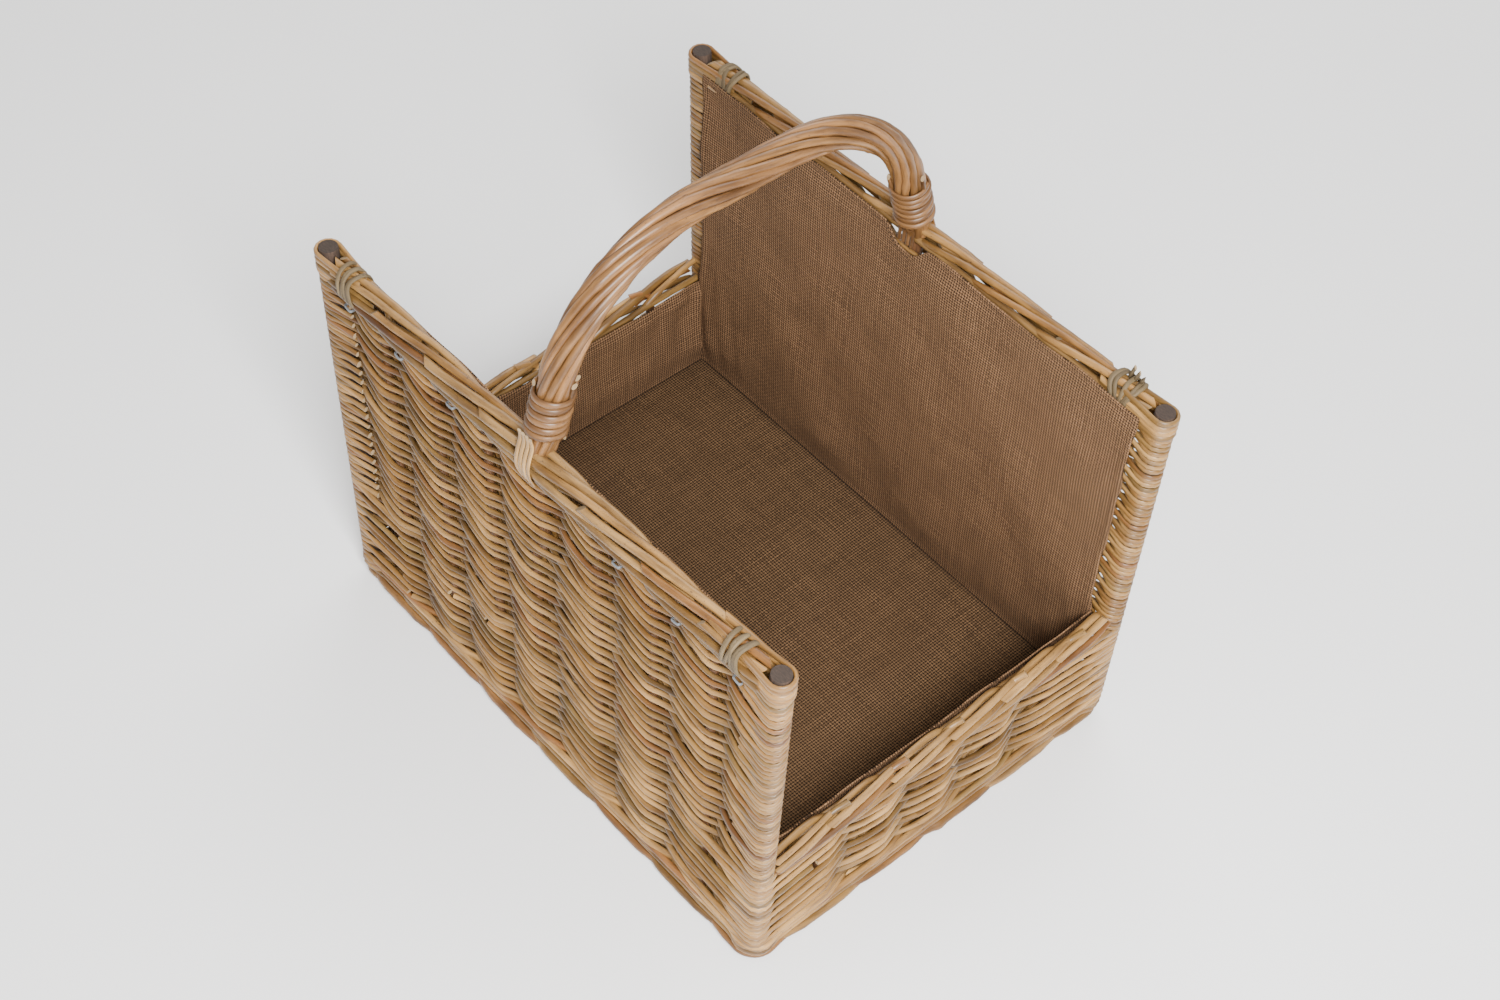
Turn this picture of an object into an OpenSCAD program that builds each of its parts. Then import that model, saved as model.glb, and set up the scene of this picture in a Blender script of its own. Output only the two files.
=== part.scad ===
// Open-ended wicker log basket with a fixed bow handle and a hessian liner.
// X runs along the long walls, Y across the basket under the handle, Z up.
// The origin is on the ground, in the middle of the foot.

/* [Overall] */
// Distance between the corner posts along the basket, at their tops
post_span_x = 500; // [420:1:620]
// How far each corner post leans out along X between the ground and its top
post_lean = 11; // [0:1:20]
// Distance between the corner posts across the basket
post_span_y = 355; // [300:1:450]
// Height of the long walls and of the corner posts
wall_h = 359; // [290:1:440]
// Height of the low end walls, over their border
end_h = 132; // [105:1:165]
// Height of the middle of the handle's top above the long walls
handle_rise = 144; // [118:1:185]

/* [Sticks and rods] */
// Diameter of a corner post
post_d = 15.6; // [12:0.1:20]
// Diameter of a stake
stake_d = 7; // [5:0.1:9]
// Diameter of a weaving rod
rod_d = 4.6; // [3.5:0.1:6]
// Thickness of a weaving rod where it is squeezed round a post
wrap_t = 2.4; // [1.5:0.1:4]
// How much thicker a wale rod is than a weaving rod
wale_extra = 0.8; // [0:0.1:2.5]
// Diameter of a border rod
border_rod_d = 8.4; // [6:0.1:10]
// Diameter of a base stick
base_stick_d = 9; // [7:0.1:12]

/* [Numbers of sticks] */
// Stakes between the posts in each long wall (odd, the middle one beside the handle)
long_stakes = 7; // [3:2:7]
// Stakes between the posts in each end wall
end_stakes = 5; // [2:1:5]
// Sticks in the base
base_sticks = 5; // [2:1:5]

/* [Foot and base] */
// Height of the foot border
foot_h = 12; // [8:0.5:20]
// Width of the foot border's ring
foot_w = 24; // [20:0.5:30]
// How far the foot border stands out past the wall
foot_proud = 3.6; // [0:0.1:6]
// Radius of the foot border's outer corners
foot_corner_r = 20; // [12:0.5:30]
// Height of the wale
wale_h = 14; // [10:0.5:20]

/* [Handle] */
// Diameter of the roped handle
handle_d = 25.4; // [22:0.1:32]
// Diameter of the bow stick inside it
bow_d = 11; // [9:0.1:14]
// Lean of the handle's legs towards the middle, in degrees
handle_lean = 15; // [8:0.5:20]
// Radius of the handle's bends, at its middle line
handle_bend_r = 130; // [90:1:134]
// Depth below the wall's top at which the bow's tails turn upright
bow_sink = 10; // [6:0.5:16]
// Length of each bow tail below its bend
bow_tail = 95; // [60:1:130]
// Gap between a bow tail and the middle stake beside it
bow_gap = 1; // [0.5:0.1:4]
// Height of the roping's lower edge above the wall
rope_gap = 1; // [0.5:0.1:3]
// Length of roping that shows below each handle binding
binding_gap = 3.5; // [2:0.1:6]
// Length of each handle binding
binding_len = 42; // [30:1:50]
// Thickness of a handle binding
binding_t = 2.9; // [2:0.1:5]
// Number of tie strips on each side of a handle foot
tie_count = 4; // [2:1:5]
// Width of a tie strip
tie_w = 3.6; // [2.5:0.1:4.5]
// Thickness of a tie strip
tie_t = 1.7; // [1:0.1:2.5]
// Gap between two tie strips
tie_gap = 1; // [0.5:0.1:2]
// How far the tie strips reach down below the border, outside
tie_outside = 6; // [3:0.5:12]
// How far the tie strips reach down from the wall's top, inside
tie_inside = 22; // [15:0.5:30]
// Height below the wall's top at which the tie strips bend in towards the handle
tie_bend = 2; // [1:0.5:4]

/* [Corner bindings] */
// Distance from the post's axis to a corner binding
corner_gap = 26; // [20:1:40]
// Width of a corner binding
corner_w = 20; // [12:1:30]
// Thickness of a corner binding
corner_t = 2.4; // [1.5:0.1:3.5]

/* [Liner] */
// Thickness of the hessian
cloth_t = 1.5; // [0.8:0.1:2.5]
// Distance from the top of a long wall down to its liner panel
liner_drop = 12; // [10:0.5:30]
// Distance from the top of an end wall down to its liner panel
end_liner_drop = 5; // [3:0.5:20]
// Gap between a liner panel's side edge and the wrapped post
liner_gap = 2; // [1:0.5:20]

/* [Staples] */
// Length of a staple's crown
staple_len = 8; // [6:0.5:12]
// Width of a staple's crown
staple_w = 2.6; // [1.5:0.1:4]
// Thickness of a staple's wire
staple_wire = 1; // [0.6:0.1:1.4]
// Length of a staple's legs
staple_leg = 5; // [3:0.5:8]
// Distance of the staples below a long border
staple_drop = 9; // [5:0.5:20]

/* [Hidden] */
$fn = 72;
// Clearance between a stick and the hole that is woven round it
fit = 0.1;
wall_t = stake_d + 2 * rod_d;
wale_t = stake_d + 2 * (rod_d + wale_extra);
wrap_r = post_d / 2 + wrap_t;
half_y = post_span_y / 2;
base_t = base_stick_d + 2 * rod_d;
base_top = foot_h + base_t;
wale_top = foot_h + wale_h;
// A long border is three rods high outside, an end border two; the rods bed into each other
border_bed = 0.95;
border_pitch = border_bed * border_rod_d;
long_border_h = border_rod_d + 2 * border_pitch;
end_border_h = border_rod_d + border_pitch;
long_border_z = wall_h - long_border_h;
end_border_z = end_h - end_border_h;
tray_top = end_border_z;
border_out = wall_t / 2 + border_rod_d / 2;
far = 2000;

// Handle: its middle line has two straight legs, two bends and a straight top
apex_z = wall_h + handle_rise;
bend_z = apex_z - handle_bend_r;
leg_top_z = bend_z + handle_bend_r * sin(handle_lean);
bow_bend_z = wall_h - bow_sink;
bend_y = half_y - handle_bend_r * cos(handle_lean) - (leg_top_z - bow_bend_z) * tan(handle_lean);
bend_steps = 16;
rope_start_z = wall_h + handle_d / 2 * sin(handle_lean) + rope_gap;
binding_start_z = rope_start_z + binding_gap;
middle_shift = (stake_d + bow_d) / 2 + bow_gap;
tie_pitch = tie_w + tie_gap;

// X of the posts' axes at a height
function post_x(z) = post_span_x / 2 - post_lean * (1 - z / wall_h);

// X of a long wall's stake at a height; the middle one makes room for the bow's tail
function stake_x(i, z) =
    let (t = 2 * i / (long_stakes + 1) - 1)
    2 * i == long_stakes + 1 ? -middle_shift : t * post_x(z);

// Y of an end wall's stake
function stake_y(i) = (2 * i / (end_stakes + 1) - 1) * half_y;

// Y of a base stick
function base_stick_y(i) = (2 * i / (base_sticks + 1) - 1) * (half_y - wale_t / 2);

FRONT_BACK = [["front", -1], ["back", 1]];
LEFT_RIGHT = [["left", -1], ["right", 1]];
CORNERS = [for (f = FRONT_BACK, e = LEFT_RIGHT) [str(f[0], "_", e[0]), e[1], f[1]]];

// ---- shapes that repeat ----

// What its children hold between two heights
module between(z0, z1) {
    intersection() {
        children();
        translate([-far / 2, -far / 2, z0])
            cube([far, far, z1 - z0]);
    }
}

// A round stick whose axis passes through two points, cut level at two heights
module leaning_stick(p0, p1, z0, z1, d) {
    v = (p1 - p0) / norm(p1 - p0);
    past = d / v[2];
    between(z0, z1)
        translate(p0 - v * ((p0[2] - z0) / v[2] + past))
            rotate([0, acos(v[2]), atan2(v[1], v[0])])
                cylinder(h = (z1 - z0) / v[2] + 2 * past, d = d);
}

// A stick along a post's axis: the post, the hole for it or the weave round it
module post_stick(sx, sy, z0, z1, d) {
    leaning_stick(
        [sx * post_x(0), sy * half_y, 0], [sx * post_x(wall_h), sy * half_y, wall_h], z0, z1, d);
}

module all_post_sticks(z0, z1, d) {
    for (sx = [-1, 1], sy = [-1, 1])
        post_stick(sx, sy, z0, z1, d);
}

module long_stake_stick(i, sy, z0, z1, d) {
    leaning_stick(
        [stake_x(i, 0), sy * half_y, 0], [stake_x(i, wall_h), sy * half_y, wall_h], z0, z1, d);
}

module end_stake_stick(i, sx, z0, z1, d) {
    leaning_stick(
        [sx * post_x(0), stake_y(i), 0], [sx * post_x(wall_h), stake_y(i), wall_h], z0, z1, d);
}

// A flat wall between the posts of one long side
module long_plate(sy, z0, z1, t) {
    translate([0, sy * half_y + t / 2, 0])
        rotate([90, 0, 0])
            linear_extrude(t)
                polygon([
                    [-post_x(z0), z0], [post_x(z0), z0],
                    [post_x(z1), z1], [-post_x(z1), z1]
                ]);
}

// A flat wall between the posts of one end, leaning as they do
module end_plate(sx, z0, z1, t) {
    translate([0, half_y, 0])
        rotate([90, 0, 0])
            linear_extrude(2 * half_y)
                polygon([
                    [sx * (post_x(z0) - t / 2), z0], [sx * (post_x(z0) + t / 2), z0],
                    [sx * (post_x(z1) + t / 2), z1], [sx * (post_x(z1) - t / 2), z1]
                ]);
}

// The four walls of one height, with the weave round the posts, holed for posts and stakes
module wall_ring(z0, z1, t, corner_r) {
    difference() {
        union() {
            for (s = [-1, 1]) {
                long_plate(s, z0, z1, t);
                end_plate(s, z0, z1, t);
            }
            all_post_sticks(z0, z1, 2 * corner_r);
        }
        all_post_sticks(z0 - 1, z1 + 1, post_d);
        for (s = [-1, 1]) {
            for (i = [1:long_stakes])
                long_stake_stick(i, s, z0 - 1, z1 + 1, stake_d + 2 * fit);
            for (i = [1:end_stakes])
                end_stake_stick(i, s, z0 - 1, z1 + 1, stake_d + 2 * fit);
        }
    }
}

module rounded_rectangle(hx, hy, r) {
    square([2 * hx, 2 * (hy - r)], center = true);
    square([2 * (hx - r), 2 * hy], center = true);
    for (sx = [-1, 1], sy = [-1, 1])
        translate([sx * (hx - r), sy * (hy - r)])
            circle(r);
}

// Section of a long border: first axis out of the basket from the wall's middle, second up
module long_border_section(grow = 0) {
    r = border_rod_d / 2;
    for (n = [-1, 1])
        translate([n * (wall_t / 2 - r), wall_h - r])
            circle(r + grow);
    for (k = [1, 2])
        translate([wall_t / 2, wall_h - r - k * border_pitch])
            circle(r + grow);
    translate([-wall_t / 2 - grow, long_border_z - grow])
        square([wall_t + 2 * grow, long_border_h - r + grow]);
}

// Carries a section along X from x0 to x1, on the long wall of side sy
module along_long_wall(sy, x0, x1) {
    translate([x0, sy * half_y, 0])
        mirror([0, sy > 0 ? 0 : 1, 0])
            rotate([90, 0, 90])
                linear_extrude(x1 - x0)
                    children();
}

module corner_binding_ring(sx, sy) {
    inner = post_x(wall_h) - corner_gap - corner_w;
    x0 = sx > 0 ? inner : -inner - corner_w;
    along_long_wall(sy, x0, x0 + corner_w)
        difference() {
            long_border_section(corner_t);
            long_border_section();
        }
}

module both_corner_bindings(sy) {
    for (sx = [-1, 1])
        corner_binding_ring(sx, sy);
}

// Points on the handle's middle line from its apex down one leg, as [y, z]
function half_line(leg_end_z) = concat(
    [[0, apex_z]],
    [for (k = [0:bend_steps])
        let (a = 90 - k * (90 - handle_lean) / bend_steps)
        [bend_y + handle_bend_r * cos(a), bend_z + handle_bend_r * sin(a)]],
    [[leg_y(leg_end_z), leg_end_z]]);

// Y of the leg's straight middle line at a height
function leg_y(z) = half_y + (bow_bend_z - z) * tan(handle_lean);

// The same line from one foot over the top to the other, with the tails' ends if tail > 0
function whole_line(leg_end_z, tail) =
    let (
        half = half_line(leg_end_z),
        n = len(half),
        down = tail > 0 ? [[leg_y(leg_end_z), leg_end_z - tail]] : [],
        right = concat(half, down)
    )
    concat([for (k = [len(right) - 1:-1:1]) [-right[k][0], right[k][1]]], right);

function direction(line, k) =
    let (v = line[min(k + 1, len(line) - 1)] - line[max(k - 1, 0)])
    v / norm(v);

// A ring of points round the line's point k; a mitre widens it across a bend
function ring(line, k, r, sides) =
    let (
        v = direction(line, k),
        first = k == 0 || k == len(line) - 1,
        u = (line[k] - line[max(k - 1, 0)]) / max(norm(line[k] - line[max(k - 1, 0)]), 0.001),
        mitre = first ? 1 : 1 / (u * v)
    )
    [for (j = [0:sides - 1])
        let (a = 360 * j / sides, n = r * cos(a) * mitre)
        [r * sin(a), line[k][0] - v[1] * n, line[k][1] + v[0] * n]];

// A round rod swept along a line in the plane x = 0
module swept_rod(line, r, sides) {
    n = len(line);
    points = [for (k = [0:n - 1]) each ring(line, k, r, sides)];
    walls = [for (k = [0:n - 2], j = [0:sides - 1])
        let (m = (j + 1) % sides)
        [k * sides + j, (k + 1) * sides + j, (k + 1) * sides + m, k * sides + m]];
    start = [for (j = [0:sides - 1]) j];
    end = [for (j = [sides - 1:-1:0]) (n - 1) * sides + j];
    polyhedron(points, concat(walls, [start, end]), convexity = 4);
}

module bow_shape() {
    swept_rod(whole_line(bow_bend_z, bow_tail), bow_d / 2, 16);
}

// The hole for a bow's tail down the wall of side sy
module tail_hole(sy) {
    translate([0, sy * half_y, bow_bend_z - bow_tail])
        cylinder(h = bow_tail + 1, d = bow_d + 2 * fit);
}

// The slot between the border's rods where the bow comes up
module bow_slot(sy) {
    r = bow_d / 2 + fit;
    reach = r / cos(handle_lean) + (wall_h - bow_bend_z) * tan(handle_lean);
    translate([-r, sy > 0 ? half_y - reach : -half_y - r, long_border_z - 1])
        cube([2 * r, reach + r, long_border_h + 2]);
}

// A sleeve round one leg of the handle, between two heights of the leg's middle line
module leg_sleeve(sy, z0, z1, r_out, r_in) {
    mirror([0, sy > 0 ? 0 : 1, 0])
        translate([0, leg_y(z0), z0])
            rotate([handle_lean, 0, 0])
                linear_extrude((z1 - z0) / cos(handle_lean))
                    difference() {
                        circle(r_out);
                        circle(r_in);
                    }
}

// A staple lying on a long wall's outer face, with its two legs in the weave
module staple(x, z, sy, legs_only = false) {
    translate([x, sy * (half_y + wall_t / 2), z])
        mirror([0, sy > 0 ? 0 : 1, 0]) {
            if (!legs_only)
                translate([-staple_len / 2, 0, -staple_w / 2])
                    cube([staple_len, staple_wire, staple_w]);
            for (sx = [-1, 1])
                translate([sx * (staple_len - staple_wire) / 2 - staple_wire / 2,
                           -staple_leg, -staple_wire / 2])
                    cube([staple_wire, staple_leg, staple_wire]);
        }
}

// Staples halfway between neighbouring stakes, on both sides of the middle
module staple_row(sy, legs_only = false) {
    z = long_border_z - staple_drop;
    middle = (long_stakes + 1) / 2;
    for (i = [0:long_stakes])
        if (i != middle && i != middle - 1)
            staple((stake_x(i, z) + stake_x(i + 1, z)) / 2, z, sy, legs_only);
}

// ---- sub-parts ----

module post(sx, sy) {
    color([0.24, 0.17, 0.12])
        post_stick(sx, sy, foot_h, wall_h, post_d);
}

module long_stake(i, sy) {
    color([0.45, 0.34, 0.2])
        long_stake_stick(i, sy, foot_h, long_border_z, stake_d);
}

module end_stake(i, sx) {
    color([0.45, 0.34, 0.2])
        end_stake_stick(i, sx, foot_h, end_border_z, stake_d);
}

module foot_border() {
    hx = post_x(0) + wall_t / 2 + foot_proud;
    hy = half_y + wall_t / 2 + foot_proud;
    color([0.52, 0.38, 0.22])
        linear_extrude(foot_h)
            difference() {
                rounded_rectangle(hx, hy, foot_corner_r);
                square([2 * (hx - foot_w), 2 * (hy - foot_w)], center = true);
            }
}

module wale() {
    color([0.6, 0.46, 0.28])
        wall_ring(foot_h, wale_top, wale_t, wrap_r);
}

module base_weave() {
    hx = post_x(foot_h) - wale_t / 2;
    hy = half_y - wale_t / 2;
    color([0.55, 0.42, 0.25])
        difference() {
            translate([-hx, -hy, foot_h])
                cube([2 * hx, 2 * hy, base_t]);
            for (i = [1:base_sticks])
                base_stick_shape(i, base_stick_d + 2 * fit, 1);
        }
}

module base_stick_shape(i, d, past) {
    h = post_x(foot_h) - wale_t / 2 + past;
    translate([-h, base_stick_y(i), foot_h + base_t / 2])
        rotate([0, 90, 0])
            cylinder(h = 2 * h, d = d);
}

module base_stick(i) {
    color([0.4, 0.28, 0.17])
        base_stick_shape(i, base_stick_d, 0);
}

module tray_siding() {
    color([0.66, 0.52, 0.32])
        wall_ring(wale_top, tray_top, wall_t, wrap_r);
}

module upper_siding(sy) {
    color([0.66, 0.52, 0.32])
        difference() {
            union() {
                long_plate(sy, tray_top, long_border_z, wall_t);
                for (sx = [-1, 1])
                    post_stick(sx, sy, tray_top, long_border_z, 2 * wrap_r);
            }
            for (sx = [-1, 1])
                post_stick(sx, sy, tray_top - 1, wall_h, post_d);
            for (i = [1:long_stakes])
                long_stake_stick(i, sy, tray_top - 1, wall_h, stake_d + 2 * fit);
            tail_hole(sy);
            both_corner_bindings(sy);
            staple_row(sy, legs_only = true);
        }
}

module long_border(sy) {
    x_end = post_x(long_border_z);
    color([0.6, 0.45, 0.26])
        difference() {
            union() {
                along_long_wall(sy, -x_end, x_end)
                    long_border_section();
                for (sx = [-1, 1])
                    post_stick(sx, sy, long_border_z, wall_h, 2 * wrap_r);
            }
            for (sx = [-1, 1])
                post_stick(sx, sy, long_border_z - 1, wall_h + 1, post_d);
            bow_slot(sy);
        }
}

module end_border(sx) {
    r = border_rod_d / 2;
    color([0.6, 0.45, 0.26])
        difference() {
            translate([sx * post_x(end_border_z), half_y, 0])
                rotate([90, 0, 0])
                    linear_extrude(2 * half_y) {
                        for (n = [-1, 1])
                            translate([n * (wall_t / 2 - r), end_h - r])
                                circle(r);
                        translate([-wall_t / 2, end_border_z])
                            square([wall_t, end_border_h - r]);
                    }
            all_post_sticks(end_border_z - 1, end_h + 1, 2 * wrap_r);
            for (sy = [-1, 1])
                long_plate(sy, end_border_z - 1, end_h + 1, wall_t);
        }
}

module handle_bow() {
    color([0.36, 0.24, 0.14])
        bow_shape();
}

module handle_roping() {
    color([0.62, 0.42, 0.24])
        difference() {
            swept_rod(whole_line(rope_start_z, 0), handle_d / 2, 32);
            swept_rod(whole_line(rope_start_z - 5, 0), bow_d / 2 + 2 * fit, 16);
        }
}

module handle_binding(sy) {
    color([0.5, 0.32, 0.17])
        leg_sleeve(
            sy, binding_start_z, binding_start_z + binding_len * cos(handle_lean),
            handle_d / 2 + binding_t, handle_d / 2 + fit);
}

// In a long wall's section: where a leg's sleeve of radius r, cut square to the leg at
// height z, has its outer (s = 1) or inner (s = -1) edge
function leg_edge(z, s, r) =
    [leg_y(z) - half_y + s * r * cos(handle_lean), z + s * r * sin(handle_lean)];

// One tie strip's section: up the face of the wall, then along the roping to the binding
module tie_section(s, face, low) {
    r = handle_d / 2 + fit;
    inner = [
        [face, low], [face, wall_h - tie_bend],
        leg_edge(rope_start_z, s, r), leg_edge(binding_start_z - tie_t, s, r)
    ];
    polygon(concat(inner, [for (k = [3:-1:0]) inner[k] + [s * tie_t, 0]]));
}

// Strips over the border outside and down the wall inside, at one handle foot
module handle_ties(sy) {
    color([0.68, 0.5, 0.32])
        for (k = [0:tie_count - 1]) {
            x0 = (k - tie_count / 2) * tie_pitch + tie_gap / 2;
            along_long_wall(sy, x0, x0 + tie_w) {
                tie_section(1, border_out + fit, long_border_z - tie_outside);
                tie_section(-1, -wall_t / 2 - fit, wall_h - tie_inside);
            }
        }
}

module corner_binding(sx, sy) {
    color([0.55, 0.45, 0.28])
        corner_binding_ring(sx, sy);
}

module liner_floor() {
    hx = post_x(base_top) - wall_t / 2;
    hy = half_y - wall_t / 2;
    color([0.5, 0.38, 0.24])
        translate([-hx, -hy, base_top])
            cube([2 * hx, 2 * hy, cloth_t]);
}

// A long panel: inside the end walls low down, and up to the wrapped posts above them
module long_panel(sy) {
    z0 = base_top + cloth_t;
    z1 = wall_h - liner_drop;
    low = post_x(z0) - wall_t / 2;
    shoulder = min(post_x(end_h) - wall_t / 2, post_x(end_h) - wrap_r - liner_gap);
    high = post_x(z1) - wrap_r - liner_gap;
    scoop_r = norm([tie_count * tie_pitch / 2, tie_inside - liner_drop]) + liner_gap;
    corner_x = post_x(wall_h) - corner_gap - corner_w - 4 * fit;
    corner_z = long_border_z - corner_t - 4 * fit;
    color([0.6, 0.46, 0.29])
        translate([0, sy * (half_y - wall_t / 2) + (sy > 0 ? 0 : cloth_t), 0])
            rotate([90, 0, 0])
                linear_extrude(cloth_t)
                    difference() {
                        polygon([
                            [-low, z0], [low, z0], [shoulder, end_h],
                            [high, z1], [-high, z1], [-shoulder, end_h]
                        ]);
                        translate([0, z1])
                            circle(scoop_r);
                        for (sx = [-1, 1])
                            translate([sx * (corner_x + far / 2), corner_z + far / 2])
                                square(far, center = true);
                    }
}

module end_panel(sx) {
    z0 = base_top + cloth_t;
    z1 = end_h - end_liner_drop;
    hy = half_y - wall_t / 2 - cloth_t;
    color([0.56, 0.42, 0.26])
        translate([0, hy, 0])
            rotate([90, 0, 0])
                linear_extrude(2 * hy)
                    polygon([
                        [sx * (post_x(z0) - wall_t / 2), z0],
                        [sx * (post_x(end_border_z) - wall_t / 2), end_border_z],
                        [sx * (post_x(end_border_z) - wall_t / 2), z1],
                        [sx * (post_x(end_border_z) - wall_t / 2 - cloth_t), z1],
                        [sx * (post_x(end_border_z) - wall_t / 2 - cloth_t), end_border_z],
                        [sx * (post_x(z0) - wall_t / 2 - cloth_t), z0]
                    ]);
}

module staples() {
    color([0.5, 0.52, 0.55])
        for (sy = [-1, 1])
            staple_row(sy);
}

for (c = CORNERS) {
    post(c[1], c[2]);
    corner_binding(c[1], c[2]);
}
for (f = FRONT_BACK) {
    for (i = [1:long_stakes])
        long_stake(i, f[1]);
    upper_siding(f[1]);
    long_border(f[1]);
    handle_binding(f[1]);
    handle_ties(f[1]);
    long_panel(f[1]);
}
for (e = LEFT_RIGHT) {
    for (i = [1:end_stakes])
        end_stake(i, e[1]);
    end_border(e[1]);
    end_panel(e[1]);
}
for (i = [1:base_sticks])
    base_stick(i);
foot_border();
wale();
base_weave();
tray_siding();
handle_bow();
handle_roping();
liner_floor();
staples();
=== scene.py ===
"""Wicker log basket: woven rods, laid borders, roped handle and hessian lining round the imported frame."""

import math

import bpy
import numpy as np
from mathutils import Matrix, Vector


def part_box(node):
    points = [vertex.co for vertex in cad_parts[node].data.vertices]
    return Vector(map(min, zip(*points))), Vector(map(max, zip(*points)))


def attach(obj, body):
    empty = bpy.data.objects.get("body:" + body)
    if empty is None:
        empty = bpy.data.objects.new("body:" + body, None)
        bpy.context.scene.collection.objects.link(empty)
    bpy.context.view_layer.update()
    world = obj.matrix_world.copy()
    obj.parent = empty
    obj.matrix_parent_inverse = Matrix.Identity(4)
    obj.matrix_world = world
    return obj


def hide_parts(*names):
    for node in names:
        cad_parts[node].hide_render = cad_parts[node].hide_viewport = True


bl_info = {
    "name": "Wicker Log Basket",
    "version": (1, 0, 0),
    "blender": (4, 5, 0),
    "location": "View3D > Sidebar > Basket",
    "description": "Weaves a log basket round its frame of sticks and lines it with hessian",
    "category": "Add Mesh",
}

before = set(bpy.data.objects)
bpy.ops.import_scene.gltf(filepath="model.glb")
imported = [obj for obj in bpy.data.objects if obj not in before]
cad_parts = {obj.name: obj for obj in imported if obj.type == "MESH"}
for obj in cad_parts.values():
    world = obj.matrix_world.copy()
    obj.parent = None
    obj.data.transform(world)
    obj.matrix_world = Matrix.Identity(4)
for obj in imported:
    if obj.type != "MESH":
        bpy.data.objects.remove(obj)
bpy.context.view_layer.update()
MM = 0.001
UP = np.array([0.0, 0.0, 1.0])
LENGTHWISE = np.array([1.0, 0.0, 0.0])
FRONT_BACK = (("front", -1), ("back", 1))
LEFT_RIGHT = (("left", -1), ("right", 1))
# Round the basket: the front, right, back and left wall, and the side that each stands on
WALL_SIDES = (-1, 1, 1, -1)

# ---- sizes taken from the frame ----

_post_low, _post_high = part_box("post_front_right")
WALL_TOP = _post_high.z
FOOT_TOP = _post_low.z
POST_R = (_post_high.y - _post_low.y) / 2
HALF_Y = -(_post_high.y + _post_low.y) / 2
POST_X_TOP = _post_high.x - POST_R
POST_X_FOOT = _post_low.x + POST_R
STAKE_R = (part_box("front_stake_4")[1].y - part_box("front_stake_4")[0].y) / 2
LONG_STAKES = sum(name.startswith("front_stake_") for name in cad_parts)
END_STAKES = sum(name.startswith("left_stake_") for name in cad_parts)
MIDDLE_STAKE_X = (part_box("front_stake_4")[0].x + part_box("front_stake_4")[1].x) / 2
BOW_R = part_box("handle_bow")[1].x
WALE_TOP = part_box("wale")[1].z
TRAY_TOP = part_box("tray_siding")[1].z
BORDER_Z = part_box("front_border")[0].z
END_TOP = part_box("left_border")[1].z
FOOT_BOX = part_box("foot_border")
BASE_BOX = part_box("base_weave")
FLOOR_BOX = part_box("liner_floor")
PANEL_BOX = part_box("liner_back")
END_PANEL_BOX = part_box("liner_right")
APEX_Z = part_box("handle_bow")[1].z - BOW_R
HANDLE_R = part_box("handle_roping")[1].x
BOW_END_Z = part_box("handle_bow")[0].z
WALL_HALF = HALF_Y - FLOOR_BOX[1].y

# The handle's middle line: straight legs that lean in, two round bends and a straight top
HANDLE_LEAN = math.radians(15)
HANDLE_BEND_R = 130 * MM
BOW_SINK = 10 * MM


def post_x(z):
    """X of the posts' axes at a height."""
    return POST_X_FOOT + (POST_X_TOP - POST_X_FOOT) * (z - FOOT_TOP) / (WALL_TOP - FOOT_TOP)


# ---- properties ----


class WeaveSettings(bpy.types.PropertyGroup):
    rod: bpy.props.FloatProperty(
        name="Rod", description="Diameter of a weaving rod", default=4.25 * MM, unit="LENGTH")
    wrap: bpy.props.FloatProperty(
        name="Wrap", description="Thickness of a rod squeezed round a post",
        default=2.4 * MM, unit="LENGTH")
    wale_rod: bpy.props.FloatProperty(
        name="Wale Rod", description="Diameter of a wale rod", default=5.2 * MM, unit="LENGTH")
    border_rod: bpy.props.FloatProperty(
        name="Border Rod", description="Diameter of a border rod", default=5.9 * MM, unit="LENGTH")
    upper_courses: bpy.props.IntProperty(
        name="Upper Courses", description="Courses in each long wall above the tray", default=46)
    tray_courses: bpy.props.IntProperty(
        name="Tray Courses", description="Courses that go all the way round the tray", default=16)
    packing_courses: bpy.props.IntProperty(
        name="Packing Courses", description="Extra courses in each long wall of the tray", default=4)
    unevenness: bpy.props.FloatProperty(
        name="Unevenness", description="How uneven the courses lie", default=1.0, min=0, max=2)
    seed: bpy.props.IntProperty(
        name="Seed", description="Start of the random draws", default=11)


class HandleSettings(bpy.types.PropertyGroup):
    rods: bpy.props.IntProperty(
        name="Rods", description="Rods roped round the bow", default=10)
    twist: bpy.props.FloatProperty(
        name="Twist", description="Turns that the roping makes from foot to foot; the sign is its hand",
        default=-1.55)
    turns: bpy.props.FloatProperty(
        name="Binding Turns", description="Turns of each foot binding", default=6.5)
    skeins: bpy.props.IntProperty(
        name="Skeins", description="Strips in each corner binding", default=5)


class LinerSettings(bpy.types.PropertyGroup):
    thickness: bpy.props.FloatProperty(
        name="Thickness", description="Thickness of the hessian", default=1.1 * MM, unit="LENGTH")
    ripple: bpy.props.FloatProperty(
        name="Ripple", description="Height of the cloth's ripples", default=1.2 * MM, unit="LENGTH")
    thread: bpy.props.FloatProperty(
        name="Thread Pitch", description="Distance between two threads",
        default=2.4 * MM, unit="LENGTH")


def colour_property(name, description, default):
    return bpy.props.FloatVectorProperty(
        name=name, description=description, default=default, subtype="COLOR", size=3, min=0, max=1)


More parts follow.
